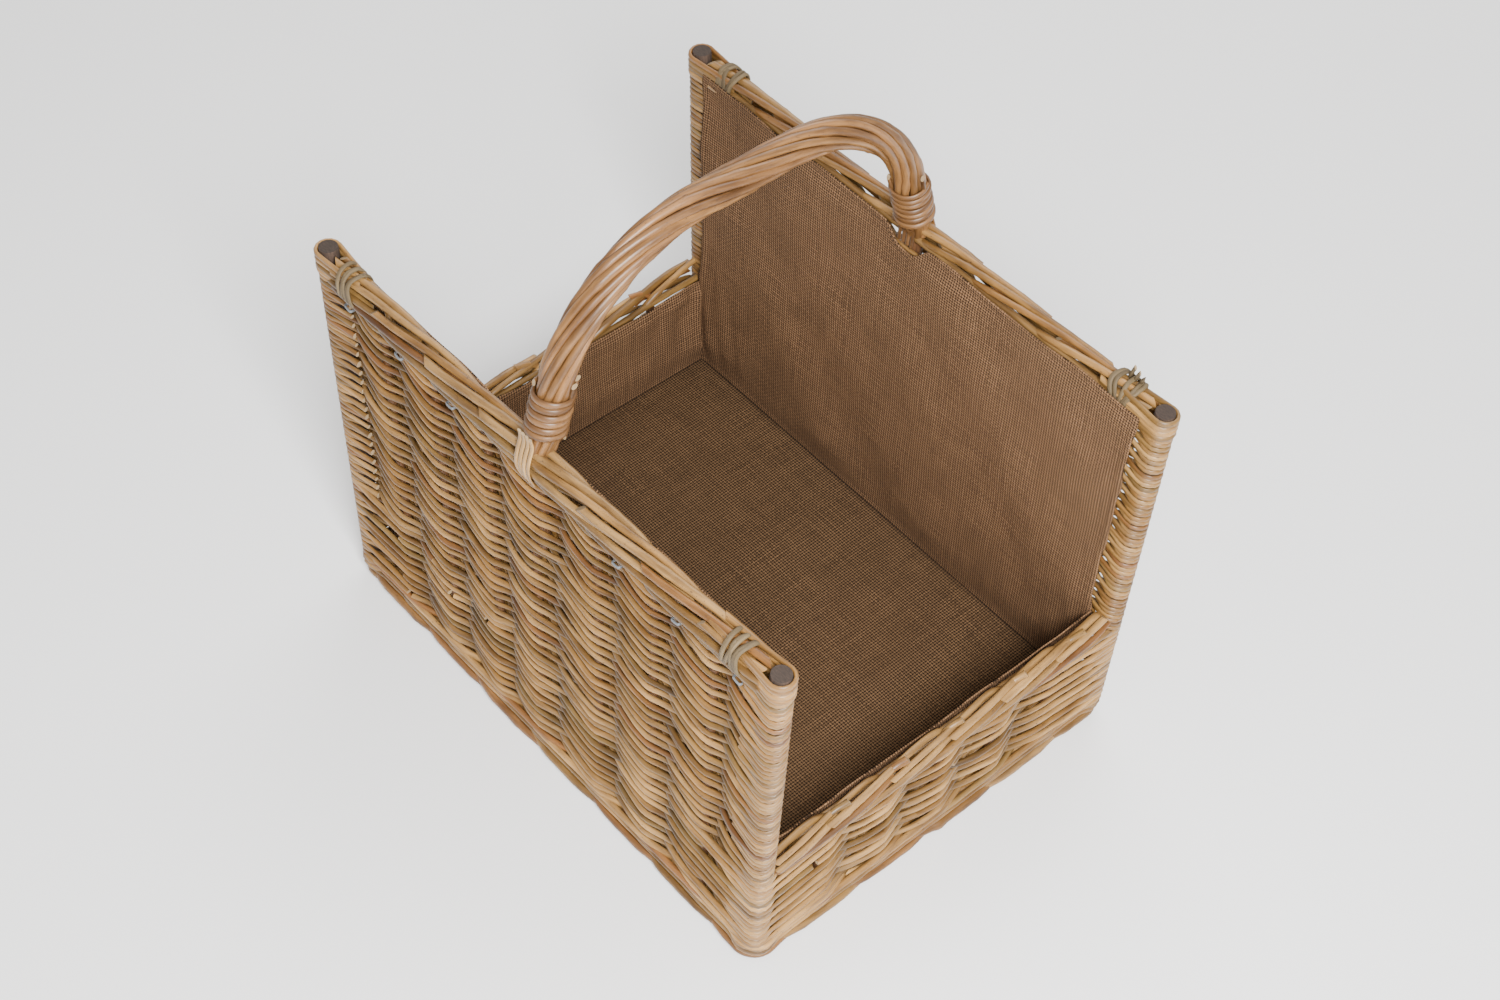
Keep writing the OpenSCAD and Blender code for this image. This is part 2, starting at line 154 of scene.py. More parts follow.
class FinishSettings(bpy.types.PropertyGroup):
    willow: colour_property("Willow", "Colour of most weaving rods", (0.215, 0.108, 0.029))
    pale: colour_property("Pale Willow", "Colour of the palest rods", (0.35, 0.208, 0.078))
    olive: colour_property("Olive Willow", "Colour of the greenest rods", (0.16, 0.098, 0.031))
    brown: colour_property("Brown Willow", "Colour of the brownest rods", (0.18, 0.075, 0.025))
    handle: colour_property("Handle", "Colour of the handle's rods", (0.19, 0.094, 0.036))
    skein: colour_property("Skein", "Colour of the corner bindings", (0.125, 0.09, 0.045))
    bark: colour_property("Bark", "Colour of the posts' bark", (0.05, 0.03, 0.02))
    cloth: colour_property("Hessian", "Colour of the hessian", (0.172, 0.094, 0.047))
    # The floor's hessian is the walls' cloth, darkened as painted shade on the basket's floor.
    shaded_floor_cloth: colour_property("Floor Hessian", "Colour of the floor's hessian", (0.1, 0.056, 0.027))
    zinc: colour_property("Zinc", "Colour of the staples", (0.2, 0.215, 0.23))


class StageSettings(bpy.types.PropertyGroup):
    lens: bpy.props.FloatProperty(
        name="Lens", description="Camera's focal length in millimetres", default=59.65)
    sky: bpy.props.FloatProperty(
        name="Sky", description="Strength of the light from all round", default=0.75)
    key: bpy.props.FloatProperty(
        name="Key", description="Power of the large lamp over the basket", default=88.0)


# ---- shader maths ----


class Value:
    """A shader socket. Arithmetic on it adds Math nodes."""

    def __init__(self, graph, socket):
        self.graph = graph
        self.socket = socket

    def _math(self, operation, *values):
        return self.graph.node("Math", values, operation=operation)

    def __add__(self, other):
        return self._math("ADD", self, other)

    def __radd__(self, other):
        return self._math("ADD", other, self)

    def __sub__(self, other):
        return self._math("SUBTRACT", self, other)

    def __rsub__(self, other):
        return self._math("SUBTRACT", other, self)

    def __mul__(self, other):
        return self._math("MULTIPLY", self, other)

    def __rmul__(self, other):
        return self._math("MULTIPLY", other, self)

    def __abs__(self):
        return self._math("ABSOLUTE", self)


class Graph:
    """A material under construction."""

    def __init__(self, name):
        self.material = bpy.data.materials.new(name)
        self.material.use_nodes = True
        self.tree = self.material.node_tree
        self.tree.nodes.clear()

    def node(self, kind, inputs=(), out=0, **settings):
        """Adds a node. Settings come first; inputs are a list in socket order or a dict by name."""
        made = self.tree.nodes.new("ShaderNode" + kind)
        for name, value in settings.items():
            setattr(made, name, value)
        pairs = inputs.items() if isinstance(inputs, dict) else enumerate(inputs)
        for key, value in pairs:
            if isinstance(value, Value):
                self.tree.links.new(value.socket, made.inputs[key])
            elif value is not None:
                made.inputs[key].default_value = value
        return Value(self, made.outputs[out]) if len(made.outputs) else None

    def attribute(self, name, out="Color"):
        return self.node("Attribute", attribute_name=name, out=out)

    def noise(self, at, scale, detail=2.0, rough=0.5):
        return self.node(
            "TexNoise", {"Vector": at, "Scale": scale, "Detail": detail, "Roughness": rough})

    def stretch(self, vector, by):
        return self.node("VectorMath", [vector, by], operation="MULTIPLY")

    def step(self, value, low, high):
        """0 below low, 1 above high and a smooth rise between."""
        return self.node(
            "MapRange", {"Value": value, "From Min": low, "From Max": high},
            interpolation_type="SMOOTHSTEP")

    def mix(self, factor, a, b, blend="MIX"):
        made = self.tree.nodes.new("ShaderNodeMix")
        made.data_type = "RGBA"
        made.blend_type = blend
        made.clamp_factor = True
        for key, value in ((0, factor), (6, a), (7, b)):
            if isinstance(value, Value):
                self.tree.links.new(value.socket, made.inputs[key])
            else:
                made.inputs[key].default_value = rgba(value) if key else value
        return Value(self, made.outputs[2])

    def surface(self, colour, roughness, height, distance, **sockets):
        """Ends the material in a Principled surface with a bump."""
        normal = self.node("Bump", {"Height": height, "Distance": distance, "Strength": 1.0})
        inputs = {"Base Color": colour, "Roughness": roughness, "Normal": normal}
        inputs.update({name.replace("_", " "): value for name, value in sockets.items()})
        shader = self.node("BsdfPrincipled", inputs)
        self.node("OutputMaterial", [shader])
        return self.material


def rgba(colour):
    return (*colour[:3], 1.0)


def rod_material(name, mottle=0.5, gloss=0.28, streak=0.4):
    """Willow rod. Its colour attribute holds the rod's own colour, darkened by painted shade where the rod
    lies deep in a wall or border, and 'rod' runs along it.
    """
    g = Graph(name)
    tint = g.attribute("tint")
    rod = g.attribute("rod", out="Vector")
    cut = g.attribute("cut", out="Fac")
    patches = g.noise(g.stretch(rod, (22.0, 160.0, 160.0)), 1.0, 3.0, 0.6)
    grain = g.noise(g.stretch(rod, (45.0, 1500.0, 1500.0)), 1.0, 2.0, 0.5)
    specks = g.noise(g.stretch(rod, (420.0, 900.0, 900.0)), 1.0, 1.0, 0.5)
    dark = g.mix(1.0, tint, (0.46, 0.4, 0.33), "MULTIPLY")
    light = g.mix(1.0, tint, (1.35, 1.32, 1.25), "MULTIPLY")
    colour = g.mix(g.step(patches, 0.5 - mottle * 0.5, 0.5 + mottle * 0.5), dark, light)
    colour = g.mix(g.step(grain, 0.55, 0.8) * streak, colour, dark)
    colour = g.mix(g.step(specks, 0.68, 0.74) * 0.75, colour, (0.05, 0.03, 0.02))
    pith = g.noise(g.stretch(rod, (1500.0, 1500.0, 1500.0)), 1.0, 2.0)
    colour = g.mix(cut, colour, g.mix(pith, (0.5, 0.36, 0.2), (0.16, 0.1, 0.05)))
    roughness = gloss + grain * 0.22 + cut * 0.3
    height = grain * 0.5 + patches * 0.6 - specks * 0.15
    return g.surface(colour, roughness, height, 0.25 * MM, Specular_IOR_Level=0.45)


def bark_material(name, colour, end_colour):
    """Dark bark with a sawn end."""
    g = Graph(name)
    rod = g.attribute("rod", out="Vector")
    cut = g.attribute("cut", out="Fac")
    rough = g.noise(g.stretch(rod, (60.0, 420.0, 420.0)), 1.0, 5.0, 0.65)
    saw = g.noise(g.stretch(rod, (1200.0, 260.0, 1500.0)), 1.0, 4.0, 0.7)
    bark = g.mix(g.step(rough, 0.3, 0.75), [c * 0.55 for c in colour], [c * 1.7 for c in colour])
    end = g.mix(g.step(saw, 0.3, 0.75), [c * 0.6 for c in end_colour], [c * 1.5 for c in end_colour])
    return g.surface(g.mix(cut, bark, end), 0.85, rough * 0.6 + saw * 0.5, 0.5 * MM)


def stick_material(name, colour):
    """Brown willow stick of the frame, seen between the rods."""
    g = Graph(name)
    at = g.node("TexCoord", out="Object")
    streaks = g.noise(g.stretch(at, (700.0, 700.0, 40.0)), 1.0, 4.0, 0.6)
    colour = g.mix(g.step(streaks, 0.3, 0.7), [c * 0.6 for c in colour], [c * 1.25 for c in colour])
    return g.surface(colour, 0.6, streaks, 0.3 * MM)


def hessian_material(name, colour, pitch):
    """Plain-woven jute: two sets of threads, over and under by turns, with open holes between."""
    g = Graph(name)
    cloth = g.attribute("cloth", out="Vector")
    drift = g.noise(cloth, 17.0, 1.0, 0.5)
    drift_2 = g.noise(cloth, 23.0, 1.0, 0.5)
    split = g.node("SeparateXYZ", [cloth])
    across = Value(g, split.socket.node.outputs[0]) + (drift - 0.5) * (0.5 * pitch)
    along = Value(g, split.socket.node.outputs[1]) + (drift_2 - 0.5) * (0.5 * pitch)
    warp = g.node("Math", [across * (math.pi / pitch)], operation="COSINE")
    weft = g.node("Math", [along * (math.pi / pitch)], operation="COSINE")
    warp_up = g.step(warp * weft, -0.12, 0.12)
    warp_body = abs(warp)
    weft_body = abs(weft)
    warp_tone = g.noise(g.stretch(cloth, (620.0, 24.0, 1.0)), 1.0, 2.0, 0.6)
    weft_tone = g.noise(g.stretch(cloth, (24.0, 620.0, 1.0)), 1.0, 2.0, 0.6)
    body = weft_body + (warp_body - weft_body) * warp_up
    tone = weft_tone + (warp_tone - weft_tone) * warp_up
    hole = g.step((1.0 - warp_body) * (1.0 - weft_body), 0.06, 0.3)
    wear = g.noise(cloth, 9.0, 3.0, 0.6)
    hairs = g.noise(g.stretch(cloth, (2100.0, 2100.0, 1.0)), 1.0, 2.0, 0.6)
    thread = g.mix(g.step(tone, 0.25, 0.75), [c * 0.6 for c in colour], [c * 1.8 for c in colour])
    thread = g.mix(g.step(wear, 0.3, 0.7) * 0.5, thread, [c * 1.1 for c in colour])
    thread = g.mix(g.step(hairs, 0.5, 0.9) * 0.35, thread, [min(1, c * 1.9) for c in colour])
    # Painted shade: each thread darker towards its edges, and the holes between threads near black.
    shade = g.mix(g.step(body, 0.15, 0.95), [c * 0.26 for c in colour], thread)
    shade = g.mix(hole * 0.9, shade, [c * 0.12 for c in colour])
    # Painted shade from the seam attribute, along the cloth's foot and edges.
    shade = g.mix(g.attribute("seam", out="Fac") * 0.7, shade, [c * 0.12 for c in colour])
    height = body * 0.8 + hairs * 0.25 - hole * 0.6
    return g.surface(shade, 0.95, height, 0.4 * MM, Specular_IOR_Level=0.15)


def zinc_material(name, colour):
    g = Graph(name)
    at = g.node("TexCoord", out="Object")
    spangle = g.noise(at, 900.0, 3.0)
    tone = g.mix(spangle, [c * 0.7 for c in colour], [c * 1.4 for c in colour])
    return g.surface(tone, 0.5 + spangle * 0.3, spangle, 0.1 * MM, Metallic=0.7)


def floor_material():
    g = Graph("studio_floor")
    at = g.node("TexCoord", out="Object")
    soft = g.noise(at, 3.0, 2.0)
    tone = g.mix(soft, (0.93, 0.93, 0.93), (0.95, 0.95, 0.95))
    return g.surface(tone, 0.7, soft, 0.1 * MM)


MATERIALS = {}


def material(name):
    """The finish with that name, made once."""
    if name not in MATERIALS:
        finish = bpy.context.scene.basket_finish
        makers = {
            "willow": lambda: rod_material(name),
            "handle_rod": lambda: rod_material(name, mottle=0.45, gloss=0.26, streak=0.35),
            "skein": lambda: rod_material(name, mottle=0.6, gloss=0.6, streak=0.6),
            "bark": lambda: bark_material(name, finish.bark, (0.03, 0.018, 0.012)),
            "stake": lambda: stick_material(name, [c * 0.6 for c in finish.brown]),
            "hessian": lambda: hessian_material(
                name, finish.cloth, bpy.context.scene.basket_liner.thread),
            "shaded_floor_hessian": lambda: hessian_material(
                name, finish.shaded_floor_cloth, bpy.context.scene.basket_liner.thread),
            "zinc": lambda: zinc_material(name, finish.zinc),
        }
        MATERIALS[name] = makers[name]()
    return MATERIALS[name]


# ---- rods ----


def smooth_noise(rng, s, wave=0.08, octaves=3):
    """Smooth random values with a spread of about 1 along s, in metres."""
    total = np.zeros_like(s)
    for k in range(octaves):
        length = wave * 0.55**k
        total += 0.62**k * np.sin(2 * np.pi * s / length + rng.uniform(0, 6.283))
    return total


def spline(points, step):
    """A smooth line through the points, as rows of equal spacing."""
    p = np.asarray(points, float)
    p = np.vstack([2 * p[0] - p[1], p, 2 * p[-1] - p[-2]])
    rows = []
    for k in range(1, len(p) - 2):
        t = np.linspace(0, 1, 24, endpoint=False)[:, None]
        a, b, c, d = p[k - 1 : k + 3]
        rows.append(0.5 * (2 * b + (c - a) * t + (2 * a - 5 * b + 4 * c - d) * t**2
                           + (3 * b - a - 3 * c + d) * t**3))
    rows.append(p[-2][None])
    return respaced(np.vstack(rows), step)


def respaced(line, step, *values):
    """The line with its points an equal step apart, and what goes with it."""
    gaps = np.linalg.norm(np.diff(line[:, :3], axis=0), axis=1)
    at = np.concatenate([[0], np.cumsum(gaps)])
    count = max(3, int(round(at[-1] / step)) + 1)
    new = np.linspace(0, at[-1], count)
    columns = np.stack([np.interp(new, at, line[:, k]) for k in range(line.shape[1])], axis=1)
    if not values:
        return columns
    return (columns, *[np.interp(new, at, v) for v in values])


KNOT_SPACING = 0.16
KNOT_LENGTH = 4 * MM
# Each rod's pattern starts this much further along, so that no two rods look alike
ROD_SHIFT = np.array([0.0, 0.037, 0.061])
# A strip of the map is about 120 mm of rod and 15 mm round, so eight times as long as it is wide
STRIP_LENGTH = 0.12
CELL_ASPECT = 8
CAPS_PER_CELL = 8


class Rods:
    """Gathers rods, and builds them as one mesh."""

    def __init__(self, name, seed=0, sides=10):
        self.name = name
        self.sides = sides
        self.rng = np.random.default_rng(seed)
        self.rods = []

    def add(self, line, radius, tint, flat=None, up=None, slant=0.0):
        """A rod along the line. flat is (thickness, width) half sizes; up fixes its frame;
        slant is how steeply its ends are cut."""
        line = np.asarray(line, float)
        count = len(line)
        thick, wide = flat if flat is not None else (radius, radius)
        thick = np.broadcast_to(thick, count).astype(float)
        wide = np.broadcast_to(wide, count).astype(float)
        self.rods.append((line, thick, wide, np.asarray(tint, float), up, slant))

    def off(self, reach):
        """A random distance either way."""
        return self.rng.uniform(-reach, reach)

    def natural(self, line, radius, taper=0.12):
        """A radius that tapers one way or the other and swells at a few knots."""
        rng = self.rng
        t = np.linspace(-1, 1, len(line))
        length = np.linalg.norm(np.diff(line, axis=0), axis=1).sum()
        r = radius * (1 + rng.normal(0, 0.05)) * (1 + t * rng.uniform(-taper, taper))
        r = r * (1 + 0.025 * smooth_noise(rng, t * length, 0.05))
        for _ in range(rng.poisson(length / KNOT_SPACING)):
            at = rng.uniform(-1, 1)
            width = KNOT_LENGTH / max(length / 2, 0.01)
            r = r * (1 + rng.uniform(0.08, 0.2) * np.exp(-(((t - at) / width) ** 2)))
        return r

    def build(self, finish, slot, *nodes):
        """One mesh of all the rods, with each rod's place, tint and cut ends kept for the finish."""
        sides = self.sides
        theta = np.arange(sides) * 2 * np.pi / sides
        loop = np.arange(sides)
        following = (loop + 1) % sides
        verts, quads, caps = [], [], []
        places, tints, cuts = [], [], []
        spans, cap_list = [], []
        start = 0
        for number, (line, thick, wide, tint, up, slant) in enumerate(self.rods):
            count = len(line)
            ring = rod_rings(line, thick, wide, up, slant, theta)
            gaps = np.linalg.norm(np.diff(line, axis=0), axis=1)
            along = np.concatenate([[0], np.cumsum(gaps)])
            place = np.stack([
                np.broadcast_to(along[:, None], (count, sides)),
                thick[:, None] * np.cos(theta), wide[:, None] * np.sin(theta)], axis=-1)
            place = place + ROD_SHIFT * (number + 1)
            tint_rows = np.broadcast_to(tint, (count, 3))
            verts.append(ring.reshape(-1, 3))
            places.append(place.reshape(-1, 3))
            tints.append(np.repeat(tint_rows, sides, axis=0))
            cuts.append(np.zeros(count * sides))
            row = start + np.arange(count - 1)[:, None] * sides
            quads.append(np.stack([
                row + loop, row + following, row + following + sides, row + loop + sides],
                axis=-1).reshape(-1, 4))
            spans.append((count - 1, along[-1]))
            start += count * sides
            for end in (0, -1):
                verts.append(np.vstack([ring[end], ring[end].mean(0)[None]]))
                places.append(np.concatenate([place[end], place[end].mean(0)[None]]))
                tints.append(np.broadcast_to(tint_rows[end], (sides + 1, 3)))
                cuts.append(np.ones(sides + 1))
                first, second = (following, loop) if end == 0 else (loop, following)
                centre = np.full(sides, start + sides)
                caps.append(np.stack([start + first, start + second, centre], axis=-1))
                cap_list.append((first, second))
                start += sides + 1
        mesh = bpy.data.meshes.new(self.name)
        fill_mesh(mesh, np.vstack(verts), np.vstack(quads), np.vstack(caps))
        put_map(mesh, np.vstack(unrolled(spans, cap_list, sides)))
        put(mesh, "rod", "FLOAT_VECTOR", "vector", np.vstack(places))
        tints = np.vstack(tints)
        put(mesh, "tint", "FLOAT_COLOR", "color", np.hstack([tints, np.ones((len(tints), 1))]))
        put(mesh, "cut", "FLOAT", "value", np.concatenate(cuts))
        mesh.update()
        mesh.validate()
        return placed(self.name, mesh, finish, slot, *nodes)


def rod_rings(line, thick, wide, up, slant, theta):
    """The rings of points round a rod, the first and last one leaning where the rod is cut."""
    side, top, tangent = moving_frame(line, up)
    across = side[:, None] * (thick[:, None] * np.cos(theta))[..., None]
    upward = top[:, None] * (wide[:, None] * np.sin(theta))[..., None]
    ring = line[:, None] + across + upward
    for end in (0, -1):
        ring[end] += tangent[end] * (slant * np.cos(theta) * thick[end])[:, None]
    return ring


def unrolled(spans, cap_list, sides):
    """The rods' map: each rod cut into strips that fill a grid, then the ends, several to a cell."""
    strips = [max(1, int(round(length / STRIP_LENGTH))) for _, length in spans]
    cells = sum(strips) + -(-len(cap_list) // CAPS_PER_CELL)
    columns = max(1, math.ceil(math.sqrt(cells * CELL_ASPECT)))
    rows = math.ceil(cells / columns)
    out, cell = [], 0
    for (quads, _), parts in zip(spans, strips, strict=True):
        i, j = np.meshgrid(np.arange(quads), np.arange(sides), indexing="ij")
        part = np.minimum(i * parts // quads, parts - 1)
        first = -(-part * quads // parts)
        last = -(-(part + 1) * quads // parts)
        low = (i - first) / (last - first)
        high = (i + 1 - first) / (last - first)
        left, right = j / sides, (j + 1) / sides
        u = np.stack([left, right, right, left], axis=-1)
        v = np.stack([low, low, high, high], axis=-1)
        column = ((cell + part) % columns)[..., None]
        row = ((cell + part) // columns)[..., None]
        u = (column + 0.1 + 0.8 * u) / columns
        v = (row + 0.02 + 0.96 * v) / rows
        out.append(np.stack([u, v], axis=-1).reshape(-1, 2))
        cell += parts
    theta = np.arange(sides) * 2 * np.pi / sides
    circle = np.stack([np.cos(theta), np.sin(theta)], axis=-1)
    scale = np.array([0.38, 0.38 / CAPS_PER_CELL])
    for k, (first, second) in enumerate(cap_list):
        column, row = (cell + k // CAPS_PER_CELL) % columns, (cell + k // CAPS_PER_CELL) // columns
        centre = np.array([column + 0.5, row + (k % CAPS_PER_CELL + 0.5) / CAPS_PER_CELL])
        points = np.stack([centre + circle[first] * scale, centre + circle[second] * scale,
                           np.broadcast_to(centre, (sides, 2))], axis=1)
        out.append((points / [columns, rows]).reshape(-1, 2))
    return out


def fill_mesh(mesh, verts, quads, triangles=()):
    """Points, then four-sided faces, then three-sided ones."""
    triangles = np.asarray(triangles, int).reshape(-1, 3)
    mesh.vertices.add(len(verts))
    mesh.vertices.foreach_set("co", verts.ravel())
    loops = np.concatenate([quads.ravel(), triangles.ravel()])
    mesh.loops.add(len(loops))
    mesh.loops.foreach_set("vertex_index", loops.astype(np.int32))
    totals = np.concatenate([np.full(len(quads), 4), np.full(len(triangles), 3)])
    mesh.polygons.add(len(totals))
    starts = np.concatenate([[0], np.cumsum(totals)[:-1]])
    mesh.polygons.foreach_set("loop_start", starts.astype(np.int32))
    mesh.polygons.foreach_set("use_smooth", np.ones(len(totals), bool))


def put_map(mesh, uv):
    """Keeps a flat map of the mesh, named OFBake."""
    layer = mesh.uv_layers.new(name="OFBake")
    layer.data.foreach_set("uv", uv.ravel().astype(np.float32))


def put(mesh, name, kind, key, values):
    """Keeps a value for each of the mesh's points."""
    layer = mesh.attributes.new(name, kind, "POINT")
    layer.data.foreach_set(key, np.ascontiguousarray(values, np.float32).ravel())


def unit(v):
    return v / np.maximum(np.linalg.norm(v, axis=-1, keepdims=True), 1e-12)


def moving_frame(line, up):
    """Side, top and tangent along a line; up fixes the frame, or it turns as little as it can."""
    tangent = unit(np.gradient(line, axis=0))
    if up is not None:
        up = np.broadcast_to(up, line.shape)
        side = unit(np.cross(tangent, up))
        return side, np.cross(side, tangent), tangent
    side = np.zeros_like(line)
    seed = np.eye(3)[np.argmin(np.abs(tangent[0]))]
    side[0] = unit(np.cross(tangent[0], seed))
    for k in range(1, len(line)):
        moved = side[k - 1] - tangent[k] * np.dot(side[k - 1], tangent[k])
        side[k] = unit(moved)
    return side, np.cross(side, tangent), tangent


def placed(name, mesh, finish, slot, *nodes):
    """Puts a finished mesh in the scene on the frame, in place of the nodes that it stands for."""
    mesh.materials.append(material(finish))
    piece = bpy.data.objects.new(name, mesh)
    bpy.context.scene.collection.objects.link(piece)
    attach(piece, "root")
    if nodes:
        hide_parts(*nodes)
    return piece


def willow_tint(rng, brown=0.1, olive=0.25):
    """The colour of one rod."""
    finish = bpy.context.scene.basket_finish
    base = np.array(finish.willow)
    pick = rng.uniform()
    other = finish.brown if pick < brown else finish.olive if pick < brown + olive else finish.pale
    mixed = base + (np.array(other) - base) * rng.uniform(0.1, 0.85)
    return mixed * rng.uniform(0.82, 1.16)


# ---- the weave ----


def wave(s, uprights, reach, offsets, shift, sharp=0.92):
    """How far a rod stands out of the wall's middle at s, as it crosses between uprights."""
    k = np.clip(np.searchsorted(uprights, s) - 1, 0, len(uprights) - 2)
    start = uprights[k] + reach[k]
    stop = uprights[k + 1] - reach[k + 1]
    t = np.clip((s - start) / (stop - start), 0, 1)
    t = np.clip(t + shift[k] * t * (1 - t) * 2, 0, 1)
    g = (1 - sharp) * np.cos(np.pi * t) + sharp * (1 - 2 * t)
    return offsets[k] + (offsets[k + 1] - offsets[k]) * (1 - g) / 2


# A rod goes in behind a stick sooner than it comes out to the next
CROSSING = 0.32
# From a rod's middle where it is furthest out of the wall to the wall's middle
WALL_DEPTH = 6 * MM
# Places along a wall at which the courses' heights are worked out
COURSE_GRID = np.linspace(-0.27, 0.27, 181)


def dip(n, radius):
    """A rod sags a little where it stands out of the wall, and rises where it is inside."""
    return 1.3 * MM * np.clip(n / (STAKE_R + radius), -1, 1)


def reach_out(radius, sign, rng):
    """Distance of a rod's middle from the wall's middle at each upright, a little more outside."""
    return (STAKE_R + radius) * np.where(sign > 0, 1.12, 1.0) * rng.uniform(0.94, 1.05, len(sign))


def long_uprights(z):
    """Posts and stakes of a long wall at a height: where they are, and half the width they take."""
    span = post_x(z)
    at = np.array([-span + 2 * span * i / (LONG_STAKES + 1) for i in range(LONG_STAKES + 2)])
    reach = np.full(len(at), 3.0 * MM)
    middle = (LONG_STAKES + 1) // 2
    at[middle] = MIDDLE_STAKE_X
    if z > BOW_END_Z:
        at[middle] = (MIDDLE_STAKE_X - STAKE_R + BOW_R) / 2
        reach[middle] = (BOW_R - MIDDLE_STAKE_X) / 2
    return at, reach


def end_uprights():
    """Posts and stakes of an end wall, and half the width they take."""
    at = np.array([-HALF_Y + 2 * HALF_Y * i / (END_STAKES + 1) for i in range(END_STAKES + 2)])
    return at, np.full(len(at), 3.0 * MM)


def painted_depth_shade(tint, depth, reach, least=0.42):
    """The rod's colour along it, with painted shade: darker the deeper it lies between others."""
    shade = least + (1 - least) * np.clip(1 - depth / reach, 0, 1)
    return np.asarray(tint) * shade[:, None]


def course_heights(rng, low, high, count, s, unevenness):
    """Heights of the courses' middles along s: uneven, but each stays over the one below."""
    thick = np.array([
        np.clip(1 + unevenness * 0.045 * smooth_noise(rng, s, rng.uniform(0.11, 0.3)), 0.7, 1.3)
        for _ in range(count)])
    tops = np.cumsum(thick, axis=0)
    return low + (high - low) * (tops - thick / 2) / tops[-1]


def on_long_wall(side, s, n, z):
    """A point at s along the long wall of that side (-1 front, 1 back), n out of its middle."""
    return np.stack([s, side * (HALF_Y + n), z], axis=-1)


def on_end_wall(side, s, n, z):
    """A point at s along the end wall of that side (-1 left, 1 right), n out of its middle."""
    return np.stack([side * (post_x(z) + n), s, z], axis=-1)


def build_upper_weave(side, name, node):
    """A long wall above the tray: one rod to a course, turned back round each post."""
    weave = bpy.context.scene.basket_weave
    rods = Rods(name, weave.seed + side + 1)
    rng = rods.rng
    count = weave.upper_courses
    low, high = TRAY_TOP - 2 * MM, BORDER_Z + 4 * MM
    heights = course_heights(rng, low, high, count, COURSE_GRID, weave.unevenness)
    wrap_r = POST_R + weave.wrap / 2
    for k in range(count):
        z_mid = heights[k].mean()
        at, reach = long_uprights(z_mid)
        sign = np.where((np.arange(len(at)) + k) % 2, 1.0, -1.0)
        radius = weave.rod / 2 * rng.uniform(0.86, 1.1)
        out = reach_out(radius, sign, rng)
        if z_mid > BOW_END_Z:
            out[(LONG_STAKES + 1) // 2] = BOW_R + radius
        out[[0, -1]] = wrap_r
        shift = -side * CROSSING + rng.uniform(-0.2, 0.2, len(at))
        s = np.linspace(at[0], at[-1], 140)
        n = wave(s, at, reach, out * sign, shift)
        tilt = rng.normal(0, 0.35 * MM, len(at))
        drop = np.interp(s, at, tilt)
        left, right = hook(at[0], -1, sign[0], wrap_r), hook(at[-1], 1, sign[-1], wrap_r)
        s_all = np.concatenate([left[::-1, 0], s, right[:, 0]])
        n_all = np.concatenate([left[::-1, 1], n, right[:, 1]])
        z = np.interp(s_all, COURSE_GRID, heights[k]) - dip(n_all, radius)
        z += np.concatenate([np.full(len(left), drop[0]), drop, np.full(len(right), drop[-1])])
        post = np.clip((np.abs(s_all) - (at[-1] - 24 * MM)) / (14 * MM), 0, 1)
        line = on_long_wall(side, s_all, n_all, z)
        line, post, depth = respaced(line, 5 * MM, post, WALL_DEPTH - np.abs(n_all))
        r = rods.natural(line, radius)
        thick = r * (1 - post) + weave.wrap / 2 * post
        wide = r * (1 - post) + 2.1 * MM * post
        # Painted shade: the rod darker where it lies deep in the wall, and a little darker round the posts.
        tint = painted_depth_shade(willow_tint(rng), depth * (1 - post) + 1 * MM * post, WALL_DEPTH)
        rods.add(line, None, tint, flat=(thick, wide), up=UP)
    return rods.build("willow", "willow", node)


def hook(post_s, way, sign, radius):
    """Round the post from one face to the other and a little way back into the weave."""
    angle = np.linspace(0.5 * np.pi, -0.5 * np.pi, 14)[1:]
    arc = np.stack([post_s + way * radius * np.cos(angle), sign * radius * np.sin(angle)], axis=-1)
    back = np.array([[5.0, 8.6], [12.0, 7.0], [20.0, 5.2], [27.0, 3.8]]) * MM
    tail = np.stack([post_s - way * back[:, 0], -sign * back[:, 1]], axis=-1)
    return np.vstack([arc, tail])


def tray_heights(rng):
    """Heights of each wall's courses over COURSE_GRID. Next to the posts they are level, so that a
    course meets itself round the corner; there the long walls' packing courses have run out."""
    weave = bpy.context.scene.basket_weave
    rings, packing = weave.tray_courses, weave.packing_courses
    low, high = WALE_TOP - 1 * MM, TRAY_TOP + 1 * MM
    walls = []
    for wall in range(4):
        long_wall = wall % 2 == 0
        ring_of = np.arange(rings + packing if long_wall else rings)
        heights = course_heights(rng, low, high, len(ring_of), COURSE_GRID, weave.unevenness)
        if long_wall:
            ring_of = ring_of - np.minimum(ring_of // (rings // packing + 1), packing)
        level = low + (high - low) * (ring_of + 0.5) / rings
        start, width = (0.185, 0.05) if long_wall else (0.13, 0.04)
        blend = np.clip((np.abs(COURSE_GRID) - start) / width, 0, 1)
        walls.append(heights * (1 - blend) + level[:, None] * blend)
    return walls


